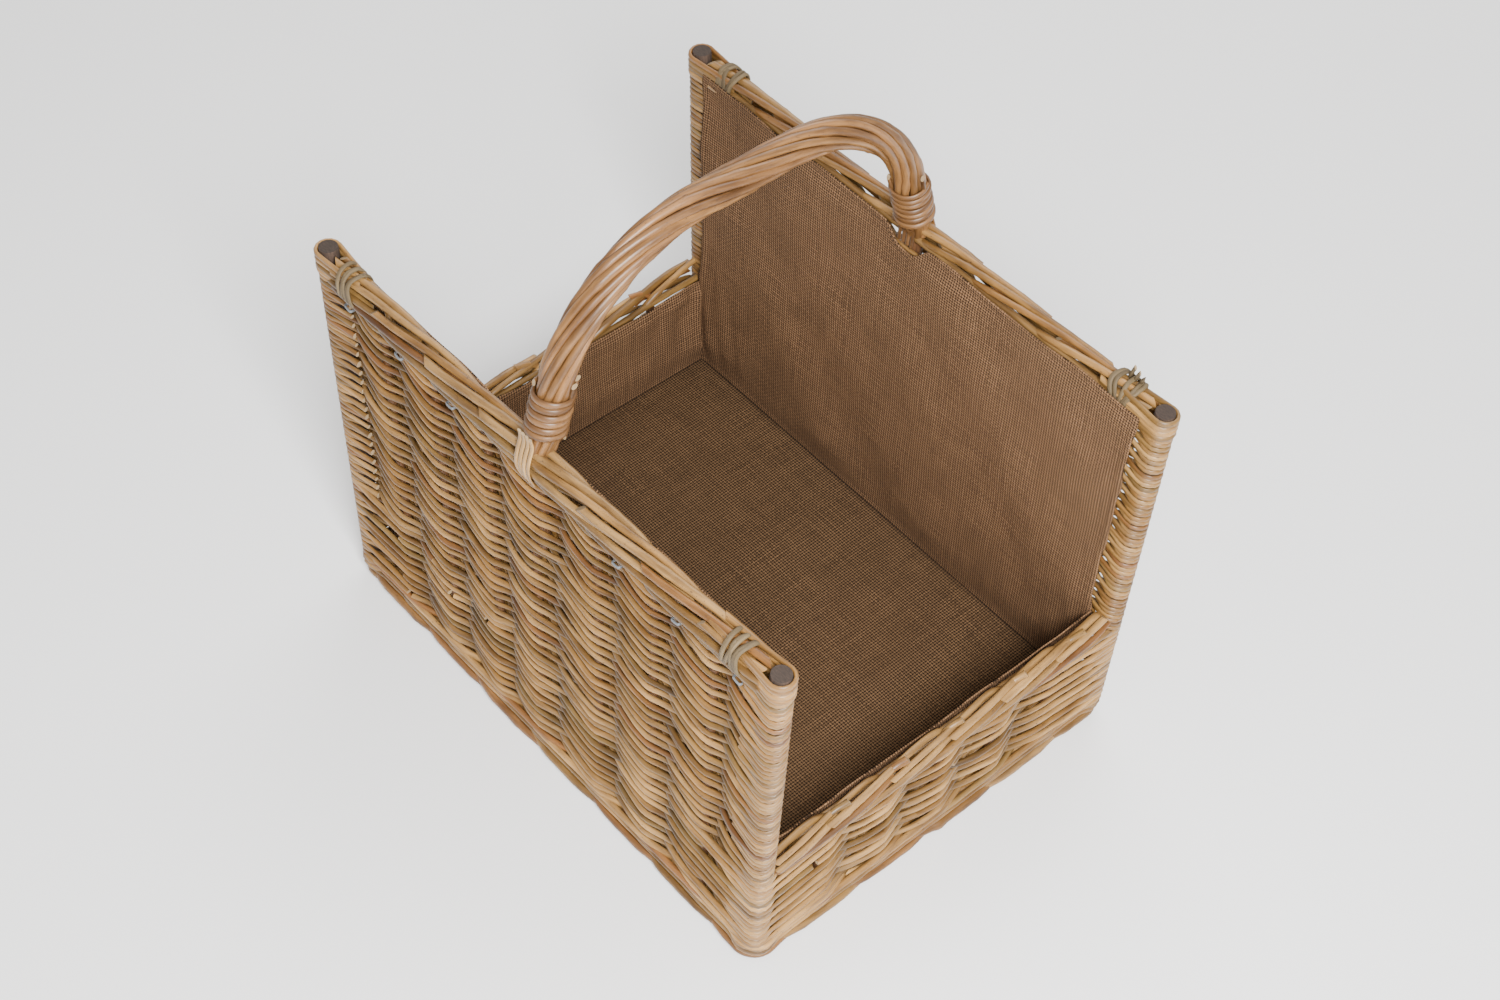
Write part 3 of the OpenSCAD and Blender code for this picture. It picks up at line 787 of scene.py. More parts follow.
def tray_course(rng, walls, k, radius):
    """One course right round the tray: its line, how much it is squeezed flat, and its depth."""
    weave = bpy.context.scene.basket_weave
    wrap_r = POST_R + weave.wrap / 2
    pieces, posts, depths = [], [], []
    for wall, side in enumerate(WALL_SIDES):
        long_wall = wall % 2 == 0
        row = k + k // (weave.tray_courses // weave.packing_courses) if long_wall else k
        at, reach = long_uprights(walls[wall][row].mean()) if long_wall else end_uprights()
        sign = np.where((np.arange(len(at)) + row + wall // 2) % 2, 1.0, -1.0)
        out = reach_out(radius, sign, rng) * sign
        out[[0, -1]] = wrap_r
        shift = (CROSSING if wall < 2 else -CROSSING) + rng.uniform(-0.2, 0.2, len(at))
        s = np.linspace(at[0], at[-1], 110 if long_wall else 80)
        n = wave(s, at, reach, out, shift)
        z = np.interp(s, COURSE_GRID, walls[wall][row]) - dip(n, radius)
        post = np.clip((np.abs(s) - (at[-1] - 22 * MM)) / (14 * MM), 0, 1)
        way = 1 if wall < 2 else -1
        line = (on_long_wall if long_wall else on_end_wall)(side, s, n, z)[::way]
        corner = post_x(line[-1][2]) * (1, 1, -1, -1)[wall], HALF_Y * side
        turn = np.radians((-90, 0, 90, 180)[wall] + np.linspace(0, 90, 9)[1:-1])
        pieces += [line, np.stack([
            corner[0] + wrap_r * np.cos(turn), corner[1] + wrap_r * np.sin(turn),
            np.full(len(turn), line[-1][2])], axis=-1)]
        posts += [post[::way], np.ones(len(turn))]
        depths += [WALL_DEPTH - np.abs(n[::way]), np.full(len(turn), -1 * MM)]
    line = np.vstack(pieces)
    line[:, 2] = closed_smooth(line[:, 2])
    return respaced(line, 5.2 * MM, np.concatenate(posts), np.concatenate(depths))


def build_tray_weave():
    """Courses round the tray, two rods to a course, and packing courses in the long walls."""
    weave = bpy.context.scene.basket_weave
    rods = Rods("tray_weave", weave.seed + 5)
    rng = rods.rng
    walls = tray_heights(rng)
    for k in range(weave.tray_courses):
        radius = weave.rod / 2 * rng.uniform(0.9, 1.12)
        course = tray_course(rng, walls, k, radius)
        count = len(course[0])
        cuts = sorted(rng.integers(0, count, 2) + np.array([0, 1]))
        rolled = [np.roll(row, -cuts[0], axis=0) for row in course]
        half = (cuts[1] - cuts[0]) % count
        half = half if 60 < half < count - 60 else count // 2
        for a, b in ((0, half + 3), (half, count)):
            line, post, depth = (row[a:b] for row in rolled)
            r = rods.natural(line, radius)
            thick = r * (1 - post) + weave.wrap / 2 * post
            wide = r * (1 - post) + 2.6 * MM * post
            # Painted shade: the rod darker where it lies deep in the wall.
            rods.add(line, None, painted_depth_shade(willow_tint(rng), depth, WALL_DEPTH), flat=(thick, wide), up=UP)
    for side in (-1, 1):
        for k in range(weave.packing_courses):
            row = (k + 1) * (weave.tray_courses // weave.packing_courses + 1) - 1
            heights = walls[0 if side < 0 else 2][row]
            at, reach = long_uprights(heights.mean())
            sign = np.where((np.arange(len(at)) + row + (side > 0)) % 2, 1.0, -1.0)
            radius = weave.rod / 2 * rng.uniform(0.85, 1.0)
            out = reach_out(radius, sign, rng) * sign
            s = np.linspace(at[1] - 6 * MM, at[-2] + 6 * MM, 100)
            n = wave(s, at, reach, out, -side * CROSSING + rng.uniform(-0.2, 0.2, len(at)))
            z = np.interp(s, COURSE_GRID, heights) - dip(n, radius)
            line, depth = respaced(on_long_wall(side, s, n, z), 5.2 * MM, WALL_DEPTH - np.abs(n))
            r = rods.natural(line, radius)
            # Painted shade: the rod darker where it lies deep in the wall.
            rods.add(line, r, painted_depth_shade(willow_tint(rng), depth, WALL_DEPTH), up=UP)
    return rods.build("willow", "willow", "tray_siding")


def closed_smooth(values, reach=4):
    """A running mean over values that go round a closed line."""
    kernel = np.ones(2 * reach + 1) / (2 * reach + 1)
    padded = np.concatenate([values[-reach:], values, values[:reach]])
    return np.convolve(padded, kernel, mode="valid")


def round_the_walls(z, offsets_of):
    """A closed line round all four walls, and the count of uprights passed at each point;
    offsets_of(index) gives how far out the line is at each upright."""
    at_long, reach_long = long_uprights(z)
    at_end, reach_end = end_uprights()
    pieces, phases, index = [], [], 0
    for wall in range(4):
        long_wall = wall % 2 == 0
        at, reach = (at_long, reach_long) if long_wall else (at_end, reach_end)
        count = len(at) - 1
        out = np.array([offsets_of(index + j) for j in range(count + 1)])
        s = np.linspace(at[0], at[-1], 12 * count, endpoint=False)
        if wall >= 2:
            mirrored = out[::-1]
            n = wave(-s, at, reach, mirrored, np.zeros(len(at)), 0.2)
        else:
            n = wave(s, at, reach, out, np.zeros(len(at)), 0.2)
        place = on_long_wall if long_wall else on_end_wall
        side = WALL_SIDES[wall]
        pieces.append(place(side, s if wall < 2 else -s, n, np.full(len(s), z)))
        phases.append(index + (s - at[0]) / (at[-1] - at[0]) * count)
        index += count
    return np.vstack(pieces), np.concatenate(phases)


def build_wale():
    """Two rounds of three rods, each over two sticks and behind the next."""
    weave = bpy.context.scene.basket_weave
    rods = Rods("wale_rods", weave.seed + 9)
    rng = rods.rng
    radius = weave.wale_rod / 2
    for level in range(2):
        z = FOOT_TOP + (3.2 + 6.6 * level) * MM
        for strand in range(3):
            def offsets(index, strand=strand, level=level):
                behind = (index + strand + level) % 3 == 0
                reach = STAKE_R + radius * (1.0 if behind else 1.25)
                return -reach if behind else reach
            line, phase = round_the_walls(z, offsets)
            line = round_corners(line)
            rise = (phase + strand + level) % 3
            line[:, 2] += closed_smooth((rise - 1.5) * 1.9 * MM, 3)
            line = respaced(np.vstack([line, line[:1]]), 5.5 * MM)
            cuts = [0, len(line) // 3 + 4 * strand, 2 * len(line) // 3 - 3 * strand, len(line)]
            for a, b in zip(cuts[:-1], cuts[1:], strict=True):
                part = line[max(0, a - 3) : b]
                rods.add(part, rods.natural(part, radius), willow_tint(rng, 0.3), up=UP, slant=0.8)
    return rods.build("willow", "willow", "wale")


def round_corners(line):
    """Pushes a line that goes round the walls out round the posts."""
    line = line.copy()
    for sx in (-1, 1):
        for sy in (-1, 1):
            axis = np.array([sx * post_x(line[:, 2].mean()), sy * HALF_Y])
            gap = line[:, :2] - axis
            distance = np.linalg.norm(gap, axis=1)
            least = POST_R + 2.4 * MM
            near = distance < least + 6 * MM
            push = np.array([sx, sy]) * 0.6
            direction = unit(gap + push * MM * 6)
            target = np.maximum(distance, least)[:, None] * direction
            line[near, :2] = (axis + target)[near]
    for axis in (0, 1):
        line[:, axis] = closed_smooth(line[:, axis], 1)
    return line


def build_foot():
    """The foot border: rods laid round the foot, each tucked under the one before."""
    weave = bpy.context.scene.basket_weave
    rods = Rods("foot_rods", weave.seed + 13)
    rng = rods.rng
    low, high = FOOT_BOX
    r = 4.0 * MM
    centre = closed_outline(high.x - r, high.y - r, 17 * MM, 3 * MM)
    total = len(centre)
    strokes = 24
    span = total / strokes
    for k in range(strokes):
        a = int(k * span)
        count = int(span * 2.75)
        t = np.linspace(0, 1, count)
        ring = centre[(a + np.arange(count)) % total]
        inward = outline_inward(ring)
        depth = 12 * MM * np.clip(1 - t * 3.2, 0, 1) ** 1.3 + 13 * MM * np.clip(t * 2.2 - 1.15, 0, 1) ** 1.1
        rise = 4.3 * MM * np.clip(1 - t * 2.6, 0, 1) + 2.0 * MM * np.sin(np.pi * np.clip(t, 0, 1))
        line = np.column_stack([ring + inward * depth[:, None], low.z + r + rise])
        line[:, 2] += 0.5 * MM * np.sin(7 * t + k)
        radius = rods.natural(line, r * rng.uniform(0.86, 1.0), 0.2)
        line[:, 2] = np.maximum(line[:, 2], radius + low.z)
        rods.add(line, radius, willow_tint(rng, 0.65, 0.1) * 0.85, slant=1.0)
    for ring_k in range(3):
        inner = closed_outline(high.x - r - (6.5 + 5.6 * ring_k) * MM,
                               high.y - r - (6.5 + 5.6 * ring_k) * MM, (13 - 4 * ring_k) * MM, 5 * MM)
        z = low.z + (7.0 + 0.8 * (ring_k % 2)) * MM
        line = np.column_stack([inner, np.full(len(inner), z)])
        line[:, 2] += 0.8 * MM * np.sin(np.arange(len(line)) * 0.45 + ring_k * 2)
        line = np.vstack([line, line[:2]])
        rods.add(line, rods.natural(line, 2.9 * MM), willow_tint(rng, 0.4), up=UP)
    return rods.build("willow", "border_rod", "foot_border")


def closed_outline(hx, hy, corner, step):
    """A rectangle with round corners, as points a step apart, anticlockwise."""
    points = []
    for sx, sy, start in ((1, -1, -90), (1, 1, 0), (-1, 1, 90), (-1, -1, 180)):
        for a in np.radians(start + np.linspace(0, 90, 10)):
            points.append([sx * (hx - corner) + corner * np.cos(a),
                           sy * (hy - corner) + corner * np.sin(a), 0])
    points.append(points[0])
    return respaced(np.array(points), step)[:-1, :2]


def outline_inward(ring):
    """Directions into an anticlockwise outline."""
    tangent = unit(np.gradient(ring, axis=0))
    return np.stack([-tangent[:, 1], tangent[:, 0]], axis=-1)


def build_base():
    """The base: rods across the basket, over and under its long sticks."""
    weave = bpy.context.scene.basket_weave
    rods = Rods("base_rods", weave.seed + 17, sides=8)
    rng = rods.rng
    low, high = BASE_BOX
    stick_r = (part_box("base_stick_1")[1].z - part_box("base_stick_1")[0].z) / 2
    z_mid = (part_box("base_stick_1")[1].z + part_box("base_stick_1")[0].z) / 2
    names = sorted(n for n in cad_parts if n.startswith("base_stick_"))
    ys = np.array([low.y] + [(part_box(n)[0].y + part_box(n)[1].y) / 2 for n in names] + [high.y])
    pitch = weave.rod * 1.02
    count = int((high.x - low.x) / pitch)
    xs = np.linspace(low.x + pitch / 2, high.x - pitch / 2, count)
    for k, x in enumerate(xs):
        radius = weave.rod / 2 * rng.uniform(0.88, 1.04)
        sign = np.where((np.arange(len(ys)) + k) % 2, 1.0, -1.0)
        out = (stick_r + radius) * sign * rng.uniform(0.94, 1.0, len(ys))
        out[[0, -1]] *= 0.4
        s = np.linspace(low.y + 1 * MM, high.y - 1 * MM, 62)
        n = wave(s, ys, np.full(len(ys), 2 * MM), out, rng.uniform(-0.3, 0.3, len(ys)))
        sway = 0.5 * MM * smooth_noise(rng, s, 0.12)
        line = np.stack([x + sway, s, z_mid + n], axis=-1)
        line[:, 2] = np.clip(line[:, 2], low.z + radius, high.z - radius)
        rods.add(line, rods.natural(line, radius), willow_tint(rng), up=LENGTHWISE)
    return rods.build("willow", "willow", "base_weave")


# ---- borders ----


def build_long_border(side, name, node):
    """Stakes bent over and laid along the top, each over the last, with their ends cut outside."""
    weave = bpy.context.scene.basket_weave
    rods = Rods(name, weave.seed + 21 + side, sides=12)
    rng = rods.rng
    r = weave.border_rod / 2
    at, _ = long_uprights(WALL_TOP)
    pitch = at[1] - at[0]
    way = -side
    top = WALL_TOP - r

    def lay(points, radius, tint, slant=1.3):
        pts = np.array(points, float)
        line = spline(on_long_wall(side, pts[:, 0] * way, pts[:, 1] * MM, pts[:, 2]), 5 * MM)
        # Painted shade: rods lying lower in the border are darker.
        tint = painted_depth_shade(tint, top - line[:, 2], 24 * MM, 0.35)
        rods.add(line, rods.natural(line, radius, 0.1), tint, slant=slant)

    edge = at[-1] - 13 * MM
    for k in range(-3, LONG_STAKES + 3):
        s0 = at[0] + pitch * (k + 1) + rng.uniform(-7, 7) * MM
        over = [
            (s0, 8.8 + rods.off(0.6), top - 5.5 * MM), (s0 + 0.35 * pitch, 8.0, top - 4.6 * MM),
            (s0 + 0.95 * pitch, 4.2 + rods.off(0.8), top - 1.2 * MM + rods.off(0.8) * MM),
            (s0 + 1.5 * pitch, 0.6 + rods.off(0.8), top - 0.2 * MM),
            (s0 + 2.1 * pitch, -3.6 + rods.off(0.7), top - 0.8 * MM + rods.off(0.8) * MM),
            (s0 + 2.6 * pitch, -5.4, top - 4.8 * MM), (s0 + 3.0 * pitch, -3.2, top - 12 * MM),
            (s0 + 3.05 * pitch, -0.5, top - 22 * MM)]
        keep = trimmed(over, -edge, edge)
        if keep is not None:
            lay(keep, r * rng.uniform(0.9, 1.06), willow_tint(rng, 0.2, 0.15))
        low = [
            (s0 - 0.1 * pitch, 2.0, top - 22 * MM), (s0 + 0.12 * pitch, 7.4, top - 20.5 * MM),
            (s0 + 0.5 * pitch, 9.3, top - 18.2 * MM + rods.off(0.6) * MM),
            (s0 + 1.1 * pitch, 9.4 + rods.off(0.3), top - 15.4 * MM + rods.off(0.8) * MM),
            (s0 + 1.75 * pitch, 8.9, top - 11.0 * MM),
            (s0 + 2.3 * pitch, 5.6, top - 7.6 * MM), (s0 + 2.7 * pitch, 0.5, top - 7.0 * MM)]
        keep = trimmed(low, -edge, edge)
        if keep is not None:
            lay(keep, r * rng.uniform(0.86, 1.0), willow_tint(rng, 0.2, 0.25))
    inner = [(s, -4.6 + rng.uniform(-0.5, 0.5), top - 10.5 * MM + rng.uniform(-1, 1) * MM)
             for s in np.linspace(-edge, edge, 9)]
    lay(inner, r * 0.95, willow_tint(rng))
    for end in (-1, 1):
        for k in range(4):
            loop_round_post(rods, side, end, top - (0.6 + 5.0 * k) * MM, r, rng, k)
    return rods.build("willow", "border_rod", node)


def trimmed(points, low, high):
    """The stretch of a list of points that lies between two ends, or None."""
    pts = np.array(points, float)
    inside = (pts[:, 0] >= low) & (pts[:, 0] <= high)
    if inside.sum() < 2:
        return None
    s = pts[:, 0]
    keep = pts[inside]
    for end, side in ((low, 0), (high, -1)):
        crossing = (s[0] < low) if side == 0 else (s[-1] > high)
        if crossing and abs(keep[side][0] - end) > 2 * MM:
            cut = np.array([end, np.interp(end, s, pts[:, 1]), np.interp(end, s, pts[:, 2])])
            keep = np.vstack([cut, keep]) if side == 0 else np.vstack([keep, cut])
    return keep


def loop_round_post(rods, side, end, z, r, rng, k):
    """A rod that goes round the post's end and back, with its ends among the border's rods."""
    post = end * post_x(z)
    reach = POST_R + 1.7 * MM
    out_len, in_len = rng.uniform(44, 70) * MM, rng.uniform(30, 62) * MM
    sign = 1 if k % 2 == 0 else -1
    angle = np.linspace(100, -100, 15)
    arc = [(post + end * reach * math.cos(math.radians(a)), sign * reach * math.sin(math.radians(a)))
           for a in angle]
    points = [(post - end * out_len, sign * 4.4 * MM), (post - end * 24 * MM, sign * 7.4 * MM), *arc,
              (post - end * 22 * MM, -sign * 7.0 * MM), (post - end * in_len, -sign * 4.4 * MM)]
    pts = np.array(points)
    lean = np.linspace(-1.2, 1.2, len(pts)) * MM * rng.uniform(-1, 1)
    line = spline(on_long_wall(side, pts[:, 0], pts[:, 1], np.full(len(pts), z) + lean), 4 * MM)
    near = np.clip((36 * MM - np.abs(line[:, 0] - post)) / (18 * MM), 0, 1)
    radius = rods.natural(line, r * 0.86)
    thick = radius * (1 - near) + 1.65 * MM * near
    wide = radius * (1 - near) + 2.7 * MM * near
    rods.add(line, None, willow_tint(rng), flat=(thick, wide), up=UP, slant=0.9)


def build_end_border(side, name, node):
    """The low ends: rods laid between the long walls, with short cut ends standing on top."""
    weave = bpy.context.scene.basket_weave
    rods = Rods(name, weave.seed + 31 + side, sides=12)
    rng = rods.rng
    r = weave.border_rod / 2 * 0.95
    at, _ = end_uprights()
    pitch = at[1] - at[0]
    top = END_TOP - r
    edge = HALF_Y - 9 * MM

    def lay(points, radius, slant=1.0):
        pts = np.array(points, float)
        line = spline(on_end_wall(side, pts[:, 0] * side, pts[:, 1] * MM, pts[:, 2]), 5 * MM)
        if side < 0:
            spread = (line[:, 2] - top + 16 * MM) / (16 * MM)
            line[:, 2] += 12 * MM * np.clip(line[:, 1] / HALF_Y, 0, 1) ** 1.5 * spread
        # Painted shade: rods lying lower in the border are darker.
        tint = painted_depth_shade(willow_tint(rng, 0.2), top - line[:, 2], 22 * MM, 0.55)
        rods.add(line, rods.natural(line, radius, 0.1), tint, slant=slant)

    for k in range(-2, END_STAKES + 2):
        s0 = at[0] + pitch * (k + 1) + rng.uniform(-5, 5) * MM
        over = [
            (s0, 6.6, top - 3.5 * MM), (s0 + 0.6 * pitch, 4.4 + rods.off(0.5), top - 0.8 * MM),
            (s0 + 1.2 * pitch, 0.2 + rods.off(0.6), top + rods.off(0.6) * MM),
            (s0 + 1.8 * pitch, -4.2, top - 1.6 * MM), (s0 + 2.1 * pitch, -3.0, top - 9 * MM)]
        low = [
            (s0 - 0.1 * pitch, 1.5, top - 15 * MM), (s0 + 0.2 * pitch, 7.0, top - 13.6 * MM),
            (s0 + 0.9 * pitch, 8.6 + rods.off(0.3), top - 10.5 * MM + rods.off(0.7) * MM),
            (s0 + 1.6 * pitch, 7.8, top - 6.4 * MM), (s0 + 2.2 * pitch, 2.0, top - 5.0 * MM)]
        for points in (over, low):
            keep = trimmed(points, -edge, edge)
            if keep is not None:
                lay(keep, r * rng.uniform(0.88, 1.05))
    for s in at[1:-1]:
        s = s + rng.uniform(-4, 4) * MM
        length = rng.uniform(18, 26) * MM
        lay([(s, -1.0, top - 6 * MM), (s + length * 0.5, 0.6, top + 1.0 * MM),
             (s + length, 2.6, top + 3.0 * MM)], r * 0.95, slant=0.5)
    inner = [(s, -5.2 + rng.uniform(-0.5, 0.5), top - 8.2 * MM + rng.uniform(-1, 1) * MM)
             for s in np.linspace(-edge, edge, 7)]
    lay(inner, r * 0.95)
    return rods.build("willow", "border_rod", node)


def build_corner_binding(end, side, name, node):
    """Strips wound over the border beside a post."""
    settings = bpy.context.scene.basket_handle
    finish = bpy.context.scene.basket_finish
    rods = Rods(name, 40 + end + 3 * side, sides=8)
    rng = rods.rng
    low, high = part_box(node)
    s_mid, half = (low.x + high.x) / 2, (high.x - low.x) / 2 - 2 * MM
    for k in range(settings.skeins):
        t = k / (settings.skeins - 1) * 2 - 1
        s0 = s_mid + half * t * 0.9
        lean = rng.uniform(-5, 5) * MM
        start = rng.uniform(0, 0.3)
        a = np.linspace(-0.62 * np.pi + start, 1.62 * np.pi - start * 0.5, 60)
        cut = np.abs(np.cos(a)) ** 0.75 * np.sign(np.cos(a))
        rise = np.abs(np.sin(a)) ** 0.75 * np.sign(np.sin(a))
        mid_n = 2.2 * MM
        mid_z = (low.z + high.z) / 2
        n = mid_n + 10.6 * MM * cut
        z = mid_z + ((high.z - low.z) / 2 - 1.2 * MM) * rise
        bite = np.clip(-rise - 0.55, 0, 1) * 8 * MM
        n = n - np.sign(cut) * bite
        s = s0 + lean * np.sin(a) + 1.2 * MM * np.sin(2 * a + k)
        line = respaced(on_long_wall(side, s, n, z), 3 * MM)
        tint = np.array(finish.skein) * rng.uniform(0.7, 1.25)
        wide = rng.uniform(1.7, 2.2) * MM
        rods.add(line, None, tint, flat=(1.15 * MM, wide), up=LENGTHWISE, slant=0.6)
    if end > 0 and side > 0:
        for k in range(3):
            s0 = s_mid + (-4 + 5 * k) * MM
            line = spline(on_long_wall(side, np.array([s0, s0 + 2 * MM, s0 + 3 * MM]),
                                       np.array([6.0, 5.0, 6.5]) * MM,
                                       high.z + np.array([-3.0, 3.0, 8.0 - 2 * k]) * MM), 2 * MM)
            rods.add(line, 1.5 * MM, np.array(finish.skein) * 0.7, slant=0.8)
    return rods.build("skein", "skein", node)


# ---- handle ----


def handle_line():
    """Points on the handle's middle line, from the front foot over the top to the back foot."""
    bend_z = APEX_Z - HANDLE_BEND_R
    leg_top_z = bend_z + HANDLE_BEND_R * math.sin(HANDLE_LEAN)
    turn_z = WALL_TOP - BOW_SINK
    leg_inset = (leg_top_z - turn_z) * math.tan(HANDLE_LEAN)
    bend_y = HALF_Y - HANDLE_BEND_R * math.cos(HANDLE_LEAN) - leg_inset
    angles = np.linspace(HANDLE_LEAN, math.pi / 2, 24)
    arc = np.stack([bend_y + HANDLE_BEND_R * np.cos(angles), bend_z + HANDLE_BEND_R * np.sin(angles)],
                   axis=-1)
    half = np.vstack([[HALF_Y, turn_z], arc])
    whole = np.vstack([half * [-1, 1], half[::-1]])
    return respaced(np.column_stack([np.zeros(len(whole)), whole]), 4 * MM)


def build_handle():
    """Rods roped round the bow; their reach narrows at the feet, under the bindings."""
    settings = bpy.context.scene.basket_handle
    finish = bpy.context.scene.basket_finish
    rods = Rods("handle_rods", 61, sides=12)
    rng = rods.rng
    middle = handle_line()
    side, top, _ = moving_frame(middle, LENGTHWISE)
    at = np.linspace(0, 1, len(middle))
    length = np.linalg.norm(np.diff(middle, axis=0), axis=1).sum()
    thick = 3.15 * MM
    own, willow = np.array(finish.handle), np.array(finish.willow)
    foot = np.clip(np.minimum(at, 1 - at) * length / (26 * MM), 0, 1)
    for k in range(settings.rods):
        spin = 2 * np.pi * (k / settings.rods + settings.twist * (at - 0.5))
        spin = spin + 0.05 * smooth_noise(rng, at * length, 0.3)
        reach = (HANDLE_R - thick) * (0.66 + 0.34 * foot) * (1 + 0.012 * smooth_noise(rng, at * length, 0.2))
        line = middle + side * (reach * np.cos(spin))[:, None] + top * (reach * np.sin(spin))[:, None]
        radius = rods.natural(line, thick, 0.14)
        tint = own + (willow - own) * rng.uniform(0, 0.5)
        rods.add(line, radius, tint * rng.uniform(0.8, 1.2))
    return rods.build("handle_rod", "handle_rod", "handle_roping")


def foot_frame(side):
    """Start of the binding on one foot, and directions along, out of and across the leg."""
    low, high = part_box(f"{'front' if side < 0 else 'back'}_handle_binding")
    axis = np.array([0.0, -side * math.sin(HANDLE_LEAN), math.cos(HANDLE_LEAN)])
    out = np.array([0.0, side * math.cos(HANDLE_LEAN), math.sin(HANDLE_LEAN)])
    radius = high.x
    rise = (high.z - low.z) - 2 * radius * math.sin(HANDLE_LEAN)
    centre = np.array([0.0, (low.y + high.y) / 2, (low.z + high.z) / 2])
    length = rise / math.cos(HANDLE_LEAN)
    return centre - axis * length / 2, axis, out, length, radius


def build_foot_binding(side, name, node):
    """A rod wound up one foot of the handle, with three cut ends standing out of it."""
    settings = bpy.context.scene.basket_handle
    finish = bpy.context.scene.basket_finish
    rods = Rods(name, 71 + side, sides=10)
    rng = rods.rng
    start, axis, out, length, radius = foot_frame(side)
    across = np.cross(axis, out)
    r = 2.2 * MM
    turns = settings.turns
    a = np.linspace(0, turns * 2 * np.pi, int(turns * 28))
    t = a / a[-1]
    reach = radius - 1.5 * MM + 0.35 * MM * np.sin(a * 0.37 + side)
    up = length * (0.06 + 0.88 * t) + 0.5 * MM * np.sin(a + 1.0)
    line = (start + np.outer(up, axis) + out * (reach * np.cos(a + 2.2))[:, None]
            + across * (reach * np.sin(a + 2.2))[:, None])
    binding_radius = rods.natural(line, r, 0.08)
    tint = np.array(finish.handle) * 0.85
    outward = unit(line - start - np.outer((line - start) @ axis, axis))
    rods.add(line, None, tint, flat=(binding_radius * 0.72, binding_radius * 1.22),
             up=np.cross(unit(np.gradient(line, axis=0)), outward), slant=0.7)
    base = start + axis * (length * 0.7)
    for angle in (1.9, 2.6, 4.9):
        direction = out * math.cos(angle) + across * math.sin(angle)
        points = [base + direction * (HANDLE_R - 0.2 * MM),
                  base + direction * (HANDLE_R + 0.6 * MM) + axis * (length * 0.3),
                  base + direction * (HANDLE_R + 1.3 * MM) + axis * (length * 0.3 + rng.uniform(6, 12) * MM)]
        line = spline(points, 3 * MM)
        rods.add(line, 1.7 * MM, tint * rng.uniform(0.5, 0.9), slant=1.2)
    return rods.build("handle_rod", "binding", node)


def build_ties(side, name, node):
    """Split strips from under the binding over the border into the weave, and inside."""
    finish = bpy.context.scene.basket_finish
    rods = Rods(name, 81 + side, sides=8)
    rng = rods.rng
    start, axis, *_ = foot_frame(side)
    leg = start - axis * 3 * MM
    n0 = side * leg[1] - HALF_Y
    for k in range(4):
        x = (-1.5 + k) * 4.4 * MM - 3 * MM
        outer = np.array([
            [x * 0.9, n0 + HANDLE_R * 0.97 + 1 * MM, leg[2] + 9 * MM],
            [x, n0 + HANDLE_R * 0.97, leg[2] + 1 * MM],
            [x, 11.2 * MM, WALL_TOP - 4 * MM], [x + 0.5 * MM, 13.2 * MM, WALL_TOP - 12 * MM],
            [x + 1 * MM, 13.0 * MM, BORDER_Z + 4 * MM], [x + 1.2 * MM, 9.6 * MM, BORDER_Z - 6 * MM]])
        inner = np.array([
            [x, n0 - HANDLE_R * 0.97 - 0.5 * MM, leg[2] + 4 * MM],
            [x, n0 - HANDLE_R * 0.97, leg[2] - 3 * MM],
            [x, -9.2 * MM, WALL_TOP - 4 * MM], [x, -9.4 * MM, WALL_TOP - 20 * MM]])
        tint = np.array(finish.pale) if side < 0 else np.array(finish.handle)
        for points, shade in ((outer, tint), (inner, np.array(finish.handle) * 0.7)):
            line = spline(on_long_wall(side, points[:, 0], points[:, 1], points[:, 2]), 3 * MM)
            rods.add(line, None, shade * rng.uniform(0.85, 1.1), flat=(0.9 * MM, 2.0 * MM),
                     up=LENGTHWISE, slant=0.4)
    return rods.build("handle_rod", "binding", node)


# ---- posts ----


def build_post(end, side, name, node):
    """A corner post: a stick with its bark on, sawn off square at the top."""
    rods = Rods(name, 91 + end + 3 * side, sides=28)
    rng = rods.rng
    z = np.linspace(FOOT_TOP + 0.5 * MM, WALL_TOP, 90)
    line = np.stack([end * post_x(z), np.full(len(z), side * HALF_Y), z], axis=-1)
    radius = POST_R * (1 + 0.008 * smooth_noise(rng, z, 0.07))
    rim = np.clip((WALL_TOP - z) / (1.6 * MM), 0, 1)
    radius = radius - (1 - rim) * 0.5 * MM
    rods.add(line, radius, (0.1, 0.07, 0.05))
    return rods.build("bark", "bark", node)


# ---- hessian lining ----


